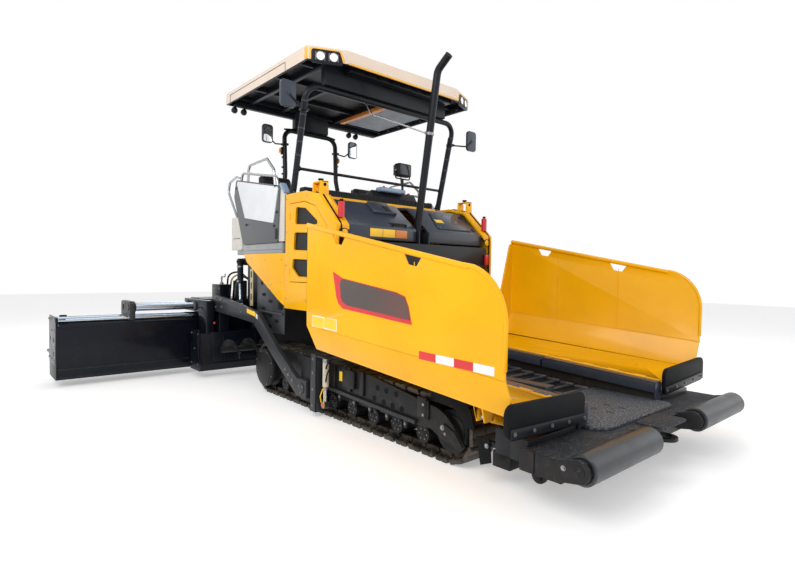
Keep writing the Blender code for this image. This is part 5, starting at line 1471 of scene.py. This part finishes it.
def makeSeat(side):
    foot = Room("operator_platform").z1
    outer = Room("seat_right").x0
    bm = bmesh.new()
    # pedestal with bellows, slide rails, arm rests and the shell behind the back
    for index in range(5):
        z = foot + 0.02 + index * 0.040
        addBox(bm, (outer + 0.08, axleY + 3.46, z), (outer + 0.42, axleY + 3.82, z + 0.034), 0.014, 0, 3)
    addBox(bm, (outer + 0.06, axleY + 3.44, foot), (outer + 0.44, axleY + 3.84, foot + 0.02), 0.004, 1)
    addBox(bm, (outer + 0.04, axleY + 3.34, 2.185), (outer + 0.46, axleY + 3.84, 2.205), 0.006, 1)
    addPrism(bm, behind([(3.79, 2.28), (3.92, 2.90), (3.955, 2.90), (3.955, 2.80), (3.85, 2.25)]), "X",
        outer + 0.035, outer + 0.465, 0, 0.012, 3)
    for x in (outer + 0.012, outer + 0.455):
        addPipe(bm, [(x + 0.016, axleY + 3.85, 2.42), (x + 0.016, axleY + 3.82, 2.50),
            (x + 0.016, axleY + 3.70, 2.52)], 0.014, 0.04, 1)
        addBox(bm, (x - 0.012, axleY + 3.42, 2.500), (x + 0.045, axleY + 3.78, 2.545), 0.018, 0, 4)
    meshPiece(f"seat_frame_{side}", hand(bm, side), ["plastic", "dark"], bodyOf(f"seat_{side}"),
        "seat_vinyl", f"seat_{side}")
    soft = cushion((outer, axleY + 3.30, 2.205), (outer + 0.50, axleY + 3.86, 2.345), 0.045, 0.025)
    addPipe(soft, [(outer + 0.008, axleY + 3.34, 2.285), (outer + 0.05, axleY + 3.305, 2.285),
        (outer + 0.45, axleY + 3.305, 2.285), (outer + 0.492, axleY + 3.34, 2.285)], 0.004, 0.03, 0, 4)
    piece = meshPiece(f"seat_cushion_{side}", hand(soft, side), "vinyl", bodyOf(f"seat_{side}"),
        "seat_vinyl", angle=60)
    rest = cushion((0.0, 0.0, 0.0), (0.48, 0.60, 0.10), 0.045, 0.022)
    turn = Matrix.Translation((outer + 0.01, axleY + 3.80, 2.315)) @ Matrix.Rotation(math.radians(78.0), 4,
        "X")
    bmesh.ops.transform(rest, matrix=turn, verts=rest.verts[:])
    piece = meshPiece(f"seat_back_{side}", hand(rest, side), "vinyl", bodyOf(f"seat_{side}"), "seat_vinyl",
        angle=60)


def makeConsole():
    room = Room("control_console")
    bm = cadCopy("control_console", 0.012, 3)
    slope = math.atan2(2.64 - 2.76, 3.24 - 2.94)
    part = bmesh.new()
    width = room.x1 - room.x0
    # control face: screen, knobs, switches and two levers
    addBox(part, (0.02, 0.01, -0.004), (width - 0.02, 0.30, 0.006), 0.004, 1)
    addBox(part, (0.28, 0.05, 0.004), (0.54, 0.24, 0.016), 0.006, 0, 3)
    addBox(part, (0.30, 0.07, 0.014), (0.52, 0.22, 0.0175), 0.002, 2)
    for index in range(12):
        x = 0.06 + (index % 4) * 0.05
        y = 0.06 + (index // 4) * 0.07
        addBox(part, (x, y, 0.004), (x + 0.026, y + 0.04, 0.018), 0.004, 0)
    for index in range(6):
        x = 0.60 + (index % 3) * 0.055
        y = 0.08 + (index // 3) * 0.10
        addTurned(part, (x, y, 0.004), (0, 0, 1), [(0, 0.0), (0, 0.018), (0.012, 0.016), (0.026, 0.013),
            (0.028, 0.0)], 20, 0)
    addTurned(part, (0.77, 0.06, 0.004), (0, 0, 1), [(0, 0.0), (0, 0.026), (0.010, 0.026), (0.012, 0.016),
        (0.03, 0.016), (0.032, 0.026), (0.046, 0.024), (0.050, 0.0)], 24, 3)
    for x in (0.62, 0.70):
        addPipe(part, [(x, 0.26, 0.0), (x, 0.27, 0.07), (x, 0.25, 0.11)], 0.008, 0.03, 4)
        addTurned(part, (x, 0.25, 0.10), (0, -0.3, 1), [(0, 0.0), (0, 0.012), (0.03, 0.020), (0.05, 0.018),
            (0.062, 0.0)], 18, 0)
    laid(bm, part, Vector((room.x0, axleY + 2.94, room.z1 - 0.002)), slope)
    # blue-grey cowl along the front edge with its red pilot
    addBox(bm, (room.x0 + 0.10, axleY + 2.84, room.z1 - 0.025),
        (room.x1 - 0.25, axleY + 2.98, room.z1 + 0.045), 0.025, 5, 4)
    addTurned(bm, (room.x0 + 0.20, axleY + 2.90, room.z1 + 0.043), (0, 0, 1),
        [(0, 0), (0, 0.016), (0.018, 0.016), (0.026, 0.008), (0.027, 0)], 18, 3)
    # work lamp on its fork
    x, y, z = 0.74, axleY + 2.86, 3.085
    wide, tall = 0.125, 0.095
    addRod(bm, (x, y, room.z1 - 0.02), (x, y, z - tall - 0.03), 0.018, 16, 0)
    addPipe(bm, [(x - wide - 0.012, y, z - 0.01), (x - wide - 0.012, y, z - tall - 0.03),
        (x + wide + 0.012, y, z - tall - 0.03), (x + wide + 0.012, y, z - 0.01)], 0.010, 0.03, 0)
    addBox(bm, (x - wide, y - 0.065, z - tall), (x + wide, y + 0.06, z + tall), 0.026, 0, 4)
    addBox(bm, (x - wide + 0.02, y - 0.070, z - tall + 0.02), (x + wide - 0.02, y - 0.062, z + tall - 0.02),
        0.004, 6)
    for index in range(9):
        rib = x - wide + 0.012 + index * 0.027
        addBox(bm, (rib, y + 0.055, z - tall + 0.02), (rib + 0.008, y + 0.080, z + tall - 0.02), 0.002, 0)
    for side in (-1, 1):
        addTurned(bm, (x + side * (wide - 0.002), y, z - 0.01), (side, 0, 0),
            [(0, 0), (0, 0.016), (0.016, 0.014), (0.018, 0)], 14, 4)
    addPipe(bm, [(x + 0.03, y + 0.06, z - 0.03), (x + 0.06, y + 0.11, z - 0.12),
        (x + 0.04, y + 0.06, z - 0.24), (x + 0.03, y + 0.02, z - 0.33)], 0.008, 0.05, 0)
    skin("control_console", bm, ["plastic", "grey", "screenGlass", "red", "stainless", "paleBlue",
        "screenGlass"])


makeDeck()
for side in sides:
    makeWall(side)
    makeSkirt(side)
    makeSeat(side)
makeConsole()
print("deck made")


# tow arms, screed and extensions
def makeTowArm(side):
    room = Room("tow_arm_right")
    outer = room.x0
    bm = cadCopy("tow_arm_right", 0.008, 3)
    # blank warning plate and red and white tag
    addPrism(bm, behind([(3.30, 0.985), (3.55, 1.020), (3.55, 1.085), (3.30, 1.050)]), "X", outer - 0.0015,
        outer + 0.001, 1)
    addPrism(bm, behind([(3.235, 0.955), (3.285, 0.975), (3.285, 1.030), (3.235, 1.005)]), "X",
        outer - 0.0015, outer + 0.001, 2)
    addPrism(bm, behind([(3.235, 0.978), (3.285, 1.000), (3.285, 1.006), (3.235, 0.984)]), "X",
        outer - 0.0022, outer + 0.001, 3)
    # pin cap, bolts at both ends, welded edge strips
    pin = (outer - 0.0005, axleY + 2.13, 0.27)
    addTurned(bm, pin, (-1, 0, 0), [(0, 0.062), (0.008, 0.060), (0.010, 0.034), (0.010, 0.0)], 28)
    for angle in (30, 150, 270):
        y = pin[1] + 0.047 * math.cos(math.radians(angle))
        z = pin[2] + 0.047 * math.sin(math.radians(angle))
        addBolt(bm, (outer - 0.009, y, z), (-1, 0, 0), 0.007, 4)
    for y, z in behind([(2.33, 0.33), (2.42, 0.38), (2.50, 0.43), (4.40, 1.04), (4.40, 1.15), (4.62, 1.03),
            (4.62, 1.16), (3.72, 1.02)]):
        addBolt(bm, (outer, y, z), (-1, 0, 0), 0.013, 4)
    strip = behind([(2.24, 0.37), (2.70, 0.64), (3.25, 1.05), (4.70, 1.22)])
    addPipe(bm, [(outer + 0.004, y, z - 0.006) for y, z in strip], 0.007, 0.20, 0, 6)
    meshPiece(f"tow_arm_{side}_skin", hand(bm, side), ["armGrey", "label", "tapeWhite", "tapeRed", "zinc"],
        bodyOf(f"tow_arm_{side}"), "dark_paint", f"tow_arm_{side}")


def makeTowPost(side):
    room = Room("tow_post_right")
    bm = cadCopy("tow_post_right", 0.003)
    # upright channel that guides the arm, welded to the cylinder's ties
    outer = room.x0 + 0.022
    front, back = axleY + 1.845, axleY + 1.965
    addBox(bm, (outer, front, 0.055), (outer + 0.010, back, 0.685), 0.003, 7)
    for y in (front, back - 0.012):
        addBox(bm, (outer, y, 0.055), (outer + 0.085, y + 0.012, 0.685), 0.003, 7)
    for z in (0.12, 0.30, 0.48, 0.63):
        addBolt(bm, (outer, (front + back) / 2, z), (-1, 0, 0), 0.010, 3)
    # levelling cylinder in front: pale sleeve, bright rod, strap and ringed lower eye
    x = room.x0 + 0.055
    y = axleY + 1.70
    for low, high, radius, index in ((0.36, 0.62, 0.034, 1), (0.19, 0.36, 0.016, 2), (0.62, 0.66, 0.036, 3),
            (0.33, 0.36, 0.030, 3)):
        length = high - low
        addTurned(bm, (x, y, low), (0, 0, 1), [(0, 0.0), (0, radius - 0.002), (0.003, radius),
            (length - 0.003, radius), (length, radius - 0.002), (length, 0.0)], 24, index)
    addBox(bm, (x - 0.03, y - 0.02, 0.66), (x + 0.03, y + 0.17, 0.675), 0.003, 7)
    addBox(bm, (x + 0.018, y - 0.03, 0.13), (x + 0.032, y + 0.17, 0.20), 0.003, 7)
    eye = (x - 0.024, y, 0.165)
    addTurned(bm, eye, (-1, 0, 0), [(-0.045, 0.0), (-0.045, 0.040), (0.006, 0.040), (0.008, 0.034),
        (0.008, 0.0)], 24, 7)
    addTurned(bm, eye, (-1, 0, 0), [(0.007, 0.032), (0.011, 0.030), (0.011, 0.020), (0.009, 0.018)], 24, 8)
    addTurned(bm, eye, (-1, 0, 0), [(0.0085, 0.018), (0.011, 0.014), (0.011, 0.0)], 20, 5)
    addPipe(bm, [(x - 0.03, y + 0.005, 0.34), (x - 0.045, y + 0.035, 0.26), (x - 0.035, y + 0.03, 0.19)],
        0.006, 0.05, 4)
    addPipe(bm, [(x - 0.03, y - 0.01, 0.34), (x - 0.042, y - 0.035, 0.27), (x - 0.035, y - 0.02, 0.19)],
        0.006, 0.05, 4)
    for z0, z1 in ((0.56, 0.66), (0.42, 0.60)):
        addPipe(bm, [(x - 0.02, y - 0.03, z0), (x - 0.03, y - 0.07, (z0 + z1) / 2),
            (x + 0.01, y - 0.09, z1)], 0.008, 0.04, 6)
    skin(f"tow_post_{side}", hand(bm, side), ["frame", "sleeve", "chrome", "zinc", "label", "red", "rubber",
        "armGrey", "brass"])


def makeLift(side):
    room = Room("lift_cylinder_right")
    bm = cadCopy("lift_cylinder_right", 0.003)
    middle = (room.x0 + room.x1) / 2
    top = Vector((middle, room.y1 - 0.045, room.z1 - 0.045))
    foot = Vector((middle, room.y0 + 0.052, room.z0 + 0.012))
    along = (foot - top).normalized()
    reach = (foot - top).length
    addTurned(bm, top, along, [(0.06, 0.0), (0.06, 0.0435), (0.07, 0.0445), (0.085, 0.0435)], 24, 1)
    addTurned(bm, top, along, [(reach - 0.035, 0.0435), (reach - 0.033, 0.047), (reach - 0.008, 0.047),
        (reach - 0.004, 0.040)], 24, 1)
    addPipe(bm, [top + Vector((0.03, 0.03, -0.08)), top + Vector((0.05, 0.07, -0.10)),
        top + Vector((0.06, 0.07, 0.02))], 0.008, 0.03, 2)
    skin(f"lift_cylinder_{side}", hand(bm, side), ["dark", "zinc", "rubber"])


tubeY = {"front": 5.12, "rear": 5.44, "upperZ": 1.02, "lowerRadius": 0.035, "lowerZ": 0.87}


def makeScreed():
    room = Room("screed_frame")
    bm = cadCopy("screed_frame", 0.005)
    for side in (-1, 1):
        edge = side * room.x1
        # end gate of the heated box with its spring, lever and bolts
        gate = behind([(4.54, 0.105), (4.49, 0.20), (4.585, 0.70), (4.93, 0.70), (4.93, 0.105)])
        addPrism(bm, softLoop(gate, 0.02, 3), "X", edge - side * 0.002, edge + side * 0.014, 0, 0.004)
        for y, z in behind([(4.62, 0.64), (4.88, 0.64), (4.62, 0.20), (4.88, 0.20), (4.75, 0.42)]):
            addBolt(bm, (edge + side * 0.014, y, z), (side, 0, 0), 0.011, 1)
        addPipe(bm, [(edge + side * 0.02, axleY + 4.60, 0.62), (edge + side * 0.024, axleY + 4.56, 0.45),
            (edge + side * 0.024, axleY + 4.54, 0.30)], 0.009, 0.05, 0)
        # housing face plates round the tubes
        for name in ("front", "rear"):
            place = (side * 1.49, axleY + tubeY[name], tubeY["upperZ"])
            addTurned(bm, place, (side, 0, 0), [(-0.01, 0.051), (-0.01, 0.074), (0.016, 0.074),
                (0.020, 0.068), (0.020, 0.0515)], 28, 4)
            for turn in range(6):
                a = math.tau * turn / 6
                addBolt(bm, (side * 1.506, place[1] + 0.063 * math.cos(a), place[2] + 0.063 * math.sin(a)),
                    (side, 0, 0), 0.005, 1)
        # towers: angle plates, crank screw and bolts
        x = side * 1.155
        addPrism(bm, behind([(4.60, 1.06), (4.56, 1.365), (4.86, 1.365), (4.90, 1.06)]), "X", x - 0.012,
            x + 0.012, 0, 0.004)
        for y, z in behind([(4.64, 1.30), (4.80, 1.30), (4.64, 1.14), (4.80, 1.14)]):
            addBolt(bm, (side * (abs(x) + 0.138), y, z), (side, 0, 0), 0.011, 1)
        addTurned(bm, (side * 1.225, axleY + 4.72, 1.355), (0, 0, 1), [(0, 0), (0, 0.028), (0.035, 0.028),
            (0.035, 0.013), (0.12, 0.013), (0.13, 0.0)], 20, 1)
        addPipe(bm, [(side * 1.225, axleY + 4.72, 1.475), (side * 1.225, axleY + 4.60, 1.475),
            (side * 1.225, axleY + 4.59, 1.52)], 0.010, 0.02, 1)
        # control box on the tower, red pilot, hoses looping to the middle
        addBox(bm, (side * 0.86, axleY + 4.62, 1.12), (side * 1.02, axleY + 4.80, 1.42), 0.016, 5, 3)
        addBox(bm, (side * 0.875, axleY + 4.612, 1.16), (side * 1.005, axleY + 4.624, 1.38), 0.004, 6)
        addTurned(bm, (side * 1.40, axleY + 4.55, 0.80), (0, -1, 0), [(0, 0), (0, 0.018), (0.014, 0.016),
            (0.022, 0.0)], 16, 3)
        for index, shift in enumerate((0.0, 0.05, 0.10)):
            hose = [(side * (1.06 + shift), axleY + 4.70, 1.10), (side * (1.05 + shift), axleY + 4.66,
                1.42 + shift), (side * (0.90 + shift), axleY + 4.60, 1.50 + shift * 0.6),
                (side * (0.76 - shift), axleY + 4.62, 1.30), (side * (0.70 - shift), axleY + 4.70, 1.115)]
            addPipe(bm, hose, 0.013, 0.12, 2 if index != 1 else 7, 8)
        # auger guard plate and levelling foot in front
        addPrism(bm, behind([(4.585, 0.66), (4.50, 0.24), (4.515, 0.235), (4.60, 0.655)]), "X", side * 0.12,
            side * 1.44, 0, 0.003)
    # front shield joints, walk plate with tread, and the burner boxes
    for index in range(6):
        x = -1.25 + index * 0.5
        addPrism(bm, behind([(4.575, 0.60), (4.498, 0.25), (4.490, 0.25), (4.567, 0.60)]), "X", x - 0.01,
            x + 0.01, 0, 0.002)
    addBox(bm, (-1.40, axleY + 4.86, 1.118), (1.40, axleY + 5.54, 1.132), 0.004, 8)
    for x in (-0.55, 0.55):
        addBox(bm, (x - 0.22, axleY + 4.62, 0.64), (x + 0.22, axleY + 4.82, 0.84), 0.014, 0, 3)
        addBox(bm, (x - 0.19, axleY + 4.612, 0.67), (x + 0.19, axleY + 4.622, 0.81), 0.004, 6)
        for dx in (-0.19, 0.19):
            addBolt(bm, (x + dx, axleY + 4.62, 0.82), (0, -1, 0), 0.007, 1)
    # rear face: blank plate, lamps and handles
    for side in (-1, 1):
        back = axleY + 5.56
        addTurned(bm, (side * 1.25, back, 1.045), (0, 1, 0),
            [(-0.005, 0.0), (-0.005, 0.040), (0.012, 0.040), (0.018, 0.030), (0.020, 0.0)], 24, 3)
        addTurned(bm, (side * 1.12, back, 1.045), (0, 1, 0),
            [(-0.005, 0.0), (-0.005, 0.040), (0.012, 0.040), (0.018, 0.030), (0.020, 0.0)], 24, 9)
    skin("screed_frame", bm, ["screed", "zinc", "rubber", "red", "grey", "dark", "plastic", "brass", "deck",
        "amberLens"])


def makeExtension(side):
    room = Room("extension_right")
    bm = cadCopy("extension_right", 0.004)
    outer, inner = room.x0, room.x1
    # bright guide tubes over the body, their end plates with bolts
    for name in ("front", "rear"):
        place = (outer + 0.03, axleY + tubeY[name], tubeY["lowerZ"])
        length = inner - outer - 0.06
        radius = tubeY["lowerRadius"]
        addTurned(bm, place, (1, 0, 0), [(0, radius + 0.0006), (length, radius + 0.0006)], 32, 1)
        for x, way in ((outer, -1), (inner, 1)):
            centre = (x, axleY + tubeY[name], tubeY["lowerZ"])
            addTurned(bm, centre, (way, 0, 0), [(-0.004, 0.0), (-0.004, 0.030), (0.004, 0.030),
                (0.006, 0.026), (0.006, 0.0)], 24, 4)
    plate = behind([(5.02, 0.30), (4.995, 0.84), (5.05, 0.935), (5.53, 0.935), (5.56, 0.86), (5.56, 0.30)])
    for x, way in ((outer, -1), (inner, 1)):
        holes = [capsule(axleY + y, z, 0.071, 0.07) for y, z in ((5.14, 0.62), (5.14, 0.44), (5.42, 0.62))]
        addSheet(bm, softLoop(plate, 0.02, 3), holes, "X", x - way * 0.001, x + way * 0.005, 4, 0.002)
        for y, z in behind([(5.05, 0.90), (5.30, 0.90), (5.53, 0.88), (5.05, 0.74), (5.05, 0.54),
                (5.05, 0.36), (5.52, 0.36), (5.28, 0.36), (5.28, 0.74)]):
            addBolt(bm, (x + way * 0.005, y, z), (way, 0, 0), 0.012, 2)
    # edge strip at the foot, crease under the tubes, end gate with its crank
    addPrism(bm, behind([(4.992, 0.79), (4.992, 0.83), (5.02, 0.85), (5.02, 0.79)]), "X", outer + 0.03,
        inner - 0.03, 0, 0.003)
    addPrism(bm, behind([(4.993, 0.255), (5.035, 0.112), (5.042, 0.112), (5.003, 0.255)]), "X",
        outer + 0.006, inner - 0.006, 3, 0.002)
    gate = behind([(4.985, 0.105), (4.985, 0.36), (5.02, 0.42), (5.50, 0.42), (5.56, 0.36), (5.56, 0.105)])
    addPrism(bm, softLoop(gate, 0.03, 3), "X", outer - 0.001, outer + 0.012, 3, 0.003)
    for y, z in behind([(5.05, 0.38), (5.50, 0.38)]):
        addTurned(bm, (outer + 0.006, y, z), (0, 0, 1), [(0, 0), (0, 0.012), (0.06, 0.012), (0.06, 0.02),
            (0.075, 0.02), (0.077, 0.0)], 16, 2)
    # tread on the walkway, rubber buffer, reflector and blank plate behind
    addBox(bm, (outer + 0.01, axleY + 5.57, 0.4185), (inner - 0.01, room.y1 - 0.008, 0.4235), 0.002, 5)
    addBox(bm, (outer + 0.05, axleY + 5.035, 0.935), (outer + 0.13, axleY + 5.10, 0.955), 0.006, 6)
    addBox(bm, (outer + 0.10, axleY + 5.558, 0.60), (outer + 0.26, axleY + 5.563, 0.66), 0.002, 7)
    for x in (outer + 0.35, inner - 0.35):
        addPipe(bm, [(x, axleY + 5.56, 0.44), (x, axleY + 5.60, 0.425)], 0.014, 0.02, 0)
    skin(f"extension_{side}", hand(bm, side), ["screed", "chrome", "zinc", "dark", "grey", "deck", "rubber",
        "tapeRed"])


def makeBridge(side):
    room = Room("extension_bridge_right")
    bm = bmesh.new()
    plateX = room.x0 + 0.035
    low, high = room.z0, room.z1
    outline = [(room.y0, low + 0.03), (room.y0, high - 0.03), (room.y0 + 0.03, high),
        (room.y1 - 0.03, high), (room.y1, high - 0.03), (room.y1, low + 0.03), (room.y1 - 0.03, low),
        (room.y0 + 0.03, low)]
    holes = []
    for name in ("front", "rear"):
        y = axleY + tubeY[name]
        holes.append([(y + 0.0385 * math.cos(math.tau * s / 28),
            tubeY["lowerZ"] + 0.0385 * math.sin(math.tau * s / 28)) for s in range(28)])
    addSheet(bm, outline, holes, "X", plateX, plateX + 0.070, 1, 0.004, 2)
    bmesh.ops.translate(bm, vec=(-0.035, 0.0, 0.0), verts=bm.verts[:])
    for name in ("front", "rear"):
        place = (plateX - 0.010, axleY + tubeY[name], tubeY["upperZ"])
        length = room.x1 - plateX + 0.010
        addTurned(bm, place, (1, 0, 0), [(0, 0.0), (0, 0.0500), (length, 0.0500), (length, 0.0)], 36, 0)
        addTurned(bm, (plateX - 0.035, place[1], place[2]), (-1, 0, 0),
            [(-0.002, 0.0), (-0.002, 0.044), (0.010, 0.042), (0.012, 0.0)], 24, 1)
        addTurned(bm, (plateX + 0.035, place[1], place[2]), (1, 0, 0),
            [(-0.002, 0.05), (-0.002, 0.066), (0.020, 0.064), (0.022, 0.0505)], 28, 1)
        addTurned(bm, (plateX - 0.036, place[1], tubeY["lowerZ"]), (-1, 0, 0),
            [(0.0, 0.0385), (0.0, 0.052), (0.008, 0.050), (0.008, 0.0385)], 28, 2)
    for y in (room.y0 + 0.16, (room.y0 + room.y1) / 2, room.y1 - 0.16):
        addBolt(bm, (plateX - 0.035, y, high - 0.05), (-1, 0, 0), 0.010, 2)
        addBolt(bm, (plateX - 0.035, y, low + 0.05), (-1, 0, 0), 0.010, 2)
    skin(f"extension_bridge_{side}", hand(bm, side), ["chrome", "armGrey", "zinc"])


def makeAuger(side):
    room = Room("auger_right")
    bm = bmesh.new()
    y, z = (room.y0 + room.y1) / 2, (room.z0 + room.z1) / 2
    addRod(bm, (room.x0, y, z), (room.x1, y, z), 0.04, 24)
    # cast flights wound round the shaft, with bolted seams
    turns, steps, flight = 4.0, 96, 0.147
    rows = []
    for index in range(steps + 1):
        x = room.x0 + 0.05 + (room.x1 - room.x0 - 0.16) * index / steps
        a = math.tau * turns * index / steps
        rows.append([bm.verts.new((x + dx, y + r * math.cos(a), z + r * math.sin(a)))
            for r, dx in ((0.036, -0.010), (flight, -0.005), (flight, 0.005), (0.036, 0.010))])
    faces = []
    for first, second in zip(rows, rows[1:]):
        for a, b in ((0, 1), (1, 2), (2, 3)):
            faces.append(bm.faces.new((first[a], first[b], second[b], second[a])))
    faces += [bm.faces.new(rows[0]), bm.faces.new(rows[-1])]
    bmesh.ops.recalc_face_normals(bm, faces=faces)
    for index in range(12):
        x = room.x0 + 0.05 + (room.x1 - room.x0 - 0.16) * (index + 0.5) / 12
        a = math.tau * turns * (index + 0.5) / 12
        addBolt(bm, (x + 0.007, y + 0.08 * math.cos(a), z + 0.08 * math.sin(a)), (1, 0, 0), 0.008, 1)
    skin(f"auger_{side}", hand(bm, side), ["frame", "zinc"])


for side in sides:
    makeTowArm(side)
    makeTowPost(side)
    makeLift(side)
    makeExtension(side)
    makeBridge(side)
    makeAuger(side)
makeScreed()
print("screed made")


# CAD nodes that keep their shape: finish and edge width of each
plainNodes = {
    "main_frame": ("frame", 0.003), "tractor_body": ("dark", 0.004), "engine_block": ("dark", 0.006),
    "hopper_bulkhead": ("dark", 0.003), "auger_case": ("frame", 0.003), "wing_cylinder": ("yellow", 0.003),
    "wing_rod": ("chrome", 0.0), "guide_wheel": ("darkSteel", 0.003), "lift_rod": ("chrome", 0.0),
}


def keepNodes():
    for node, thing in cadNodes.items():
        if thing.hide_render:
            continue
        finish, width = plainNodes[node.replace("_right", "").replace("_left", "")]
        skin(node, cadCopy(node, width), finish)


keepNodes()
print("remaining frame pieces finished")


# floor, light and camera
studio = {
    "floorSize": 60.0, "floorColour": (0.86, 0.86, 0.86), "floorGlow": 0.34,
    "skyStops": (0.5, 0.85), "skyLevels": (1.0, 0.30),
    "cameraPlace": (-4.33, -5.165, 1.60), "cameraTurn": 40.77, "cameraPitch": -1.63, "cameraRoll": 0.927,
    "lens": 23.508, "sensor": 36.0,
}


def makeStage():
    bm = bmesh.new()
    bmesh.ops.create_grid(bm, x_segments=1, y_segments=1, size=studio["floorSize"] / 2)
    mesh = bpy.data.meshes.new("floor")
    bm.to_mesh(mesh)
    bm.free()
    g = Graph("studioFloor")
    tone = g.soft(g.noise(0.4, 2.0), 0.3, 0.7)
    g.set(base_color=g.mix(tone, studio["floorColour"], shade(studio["floorColour"], 0.985)),
        roughness=0.75)
    g.set(emission_color=(1.0, 1.0, 1.0), emission_strength=studio["floorGlow"], specular_ior_level=0.0)
    mesh.materials.append(g.material)
    floor = bpy.data.objects.new("floor", mesh)
    bpy.context.scene.collection.objects.link(floor)
    floor.location.z = cadBox[0].z - 0.001


def makeLights():
    world = bpy.data.worlds.new("studio")
    world.use_nodes = True
    tree = world.node_tree
    background = tree.nodes["Background"]
    background.inputs["Strength"].default_value = 1.0
    # white round the horizon, dimmer overhead
    place = tree.nodes.new("ShaderNodeTexCoord")
    split = tree.nodes.new("ShaderNodeSeparateXYZ")
    tree.links.new(place.outputs["Generated"], split.inputs[0])
    ramp = tree.nodes.new("ShaderNodeValToRGB")
    for element, position, level in zip(ramp.color_ramp.elements, studio["skyStops"], studio["skyLevels"]):
        element.position = position
        element.color = (level, level, level, 1.0)
    tree.links.new(split.outputs["Z"], ramp.inputs[0])
    tree.links.new(ramp.outputs[0], background.inputs["Color"])
    bpy.context.scene.world = world
    for name, place, size, power in (("key", (-8.0, -4.0, 7.5), 5.0, 420.0),
            ("fill", (7.5, -7.0, 5.0), 7.0, 120.0), ("top", (0.0, 1.0, 9.0), 8.0, 250.0),
            ("back", (3.0, 9.0, 6.0), 6.0, 150.0)):
        data = bpy.data.lights.new(name, "AREA")
        data.size = size
        data.energy = power
        light = bpy.data.objects.new(name, data)
        light.location = place
        light.rotation_euler = (Vector((0.0, 0.0, 1.2)) - Vector(place)).to_track_quat("-Z", "Y").to_euler()
        bpy.context.scene.collection.objects.link(light)


def makeCamera():
    data = bpy.data.cameras.new("camera")
    data.sensor_width = studio["sensor"]
    data.lens = studio["lens"]
    data.clip_end = 200.0
    camera = bpy.data.objects.new("camera", data)
    turn = Matrix.Rotation(math.radians(-studio["cameraTurn"]), 4, "Z")
    pitch = Matrix.Rotation(math.radians(90.0 + studio["cameraPitch"]), 4, "X")
    roll = Matrix.Rotation(math.radians(studio["cameraRoll"]), 4, "Z")
    camera.matrix_world = Matrix.Translation(studio["cameraPlace"]) @ turn @ pitch @ roll
    bpy.context.scene.collection.objects.link(camera)
    bpy.context.scene.camera = camera


bpy.context.scene.view_settings.view_transform = "Standard"
makeStage()
makeLights()
makeCamera()
print("stage, lights and camera set")
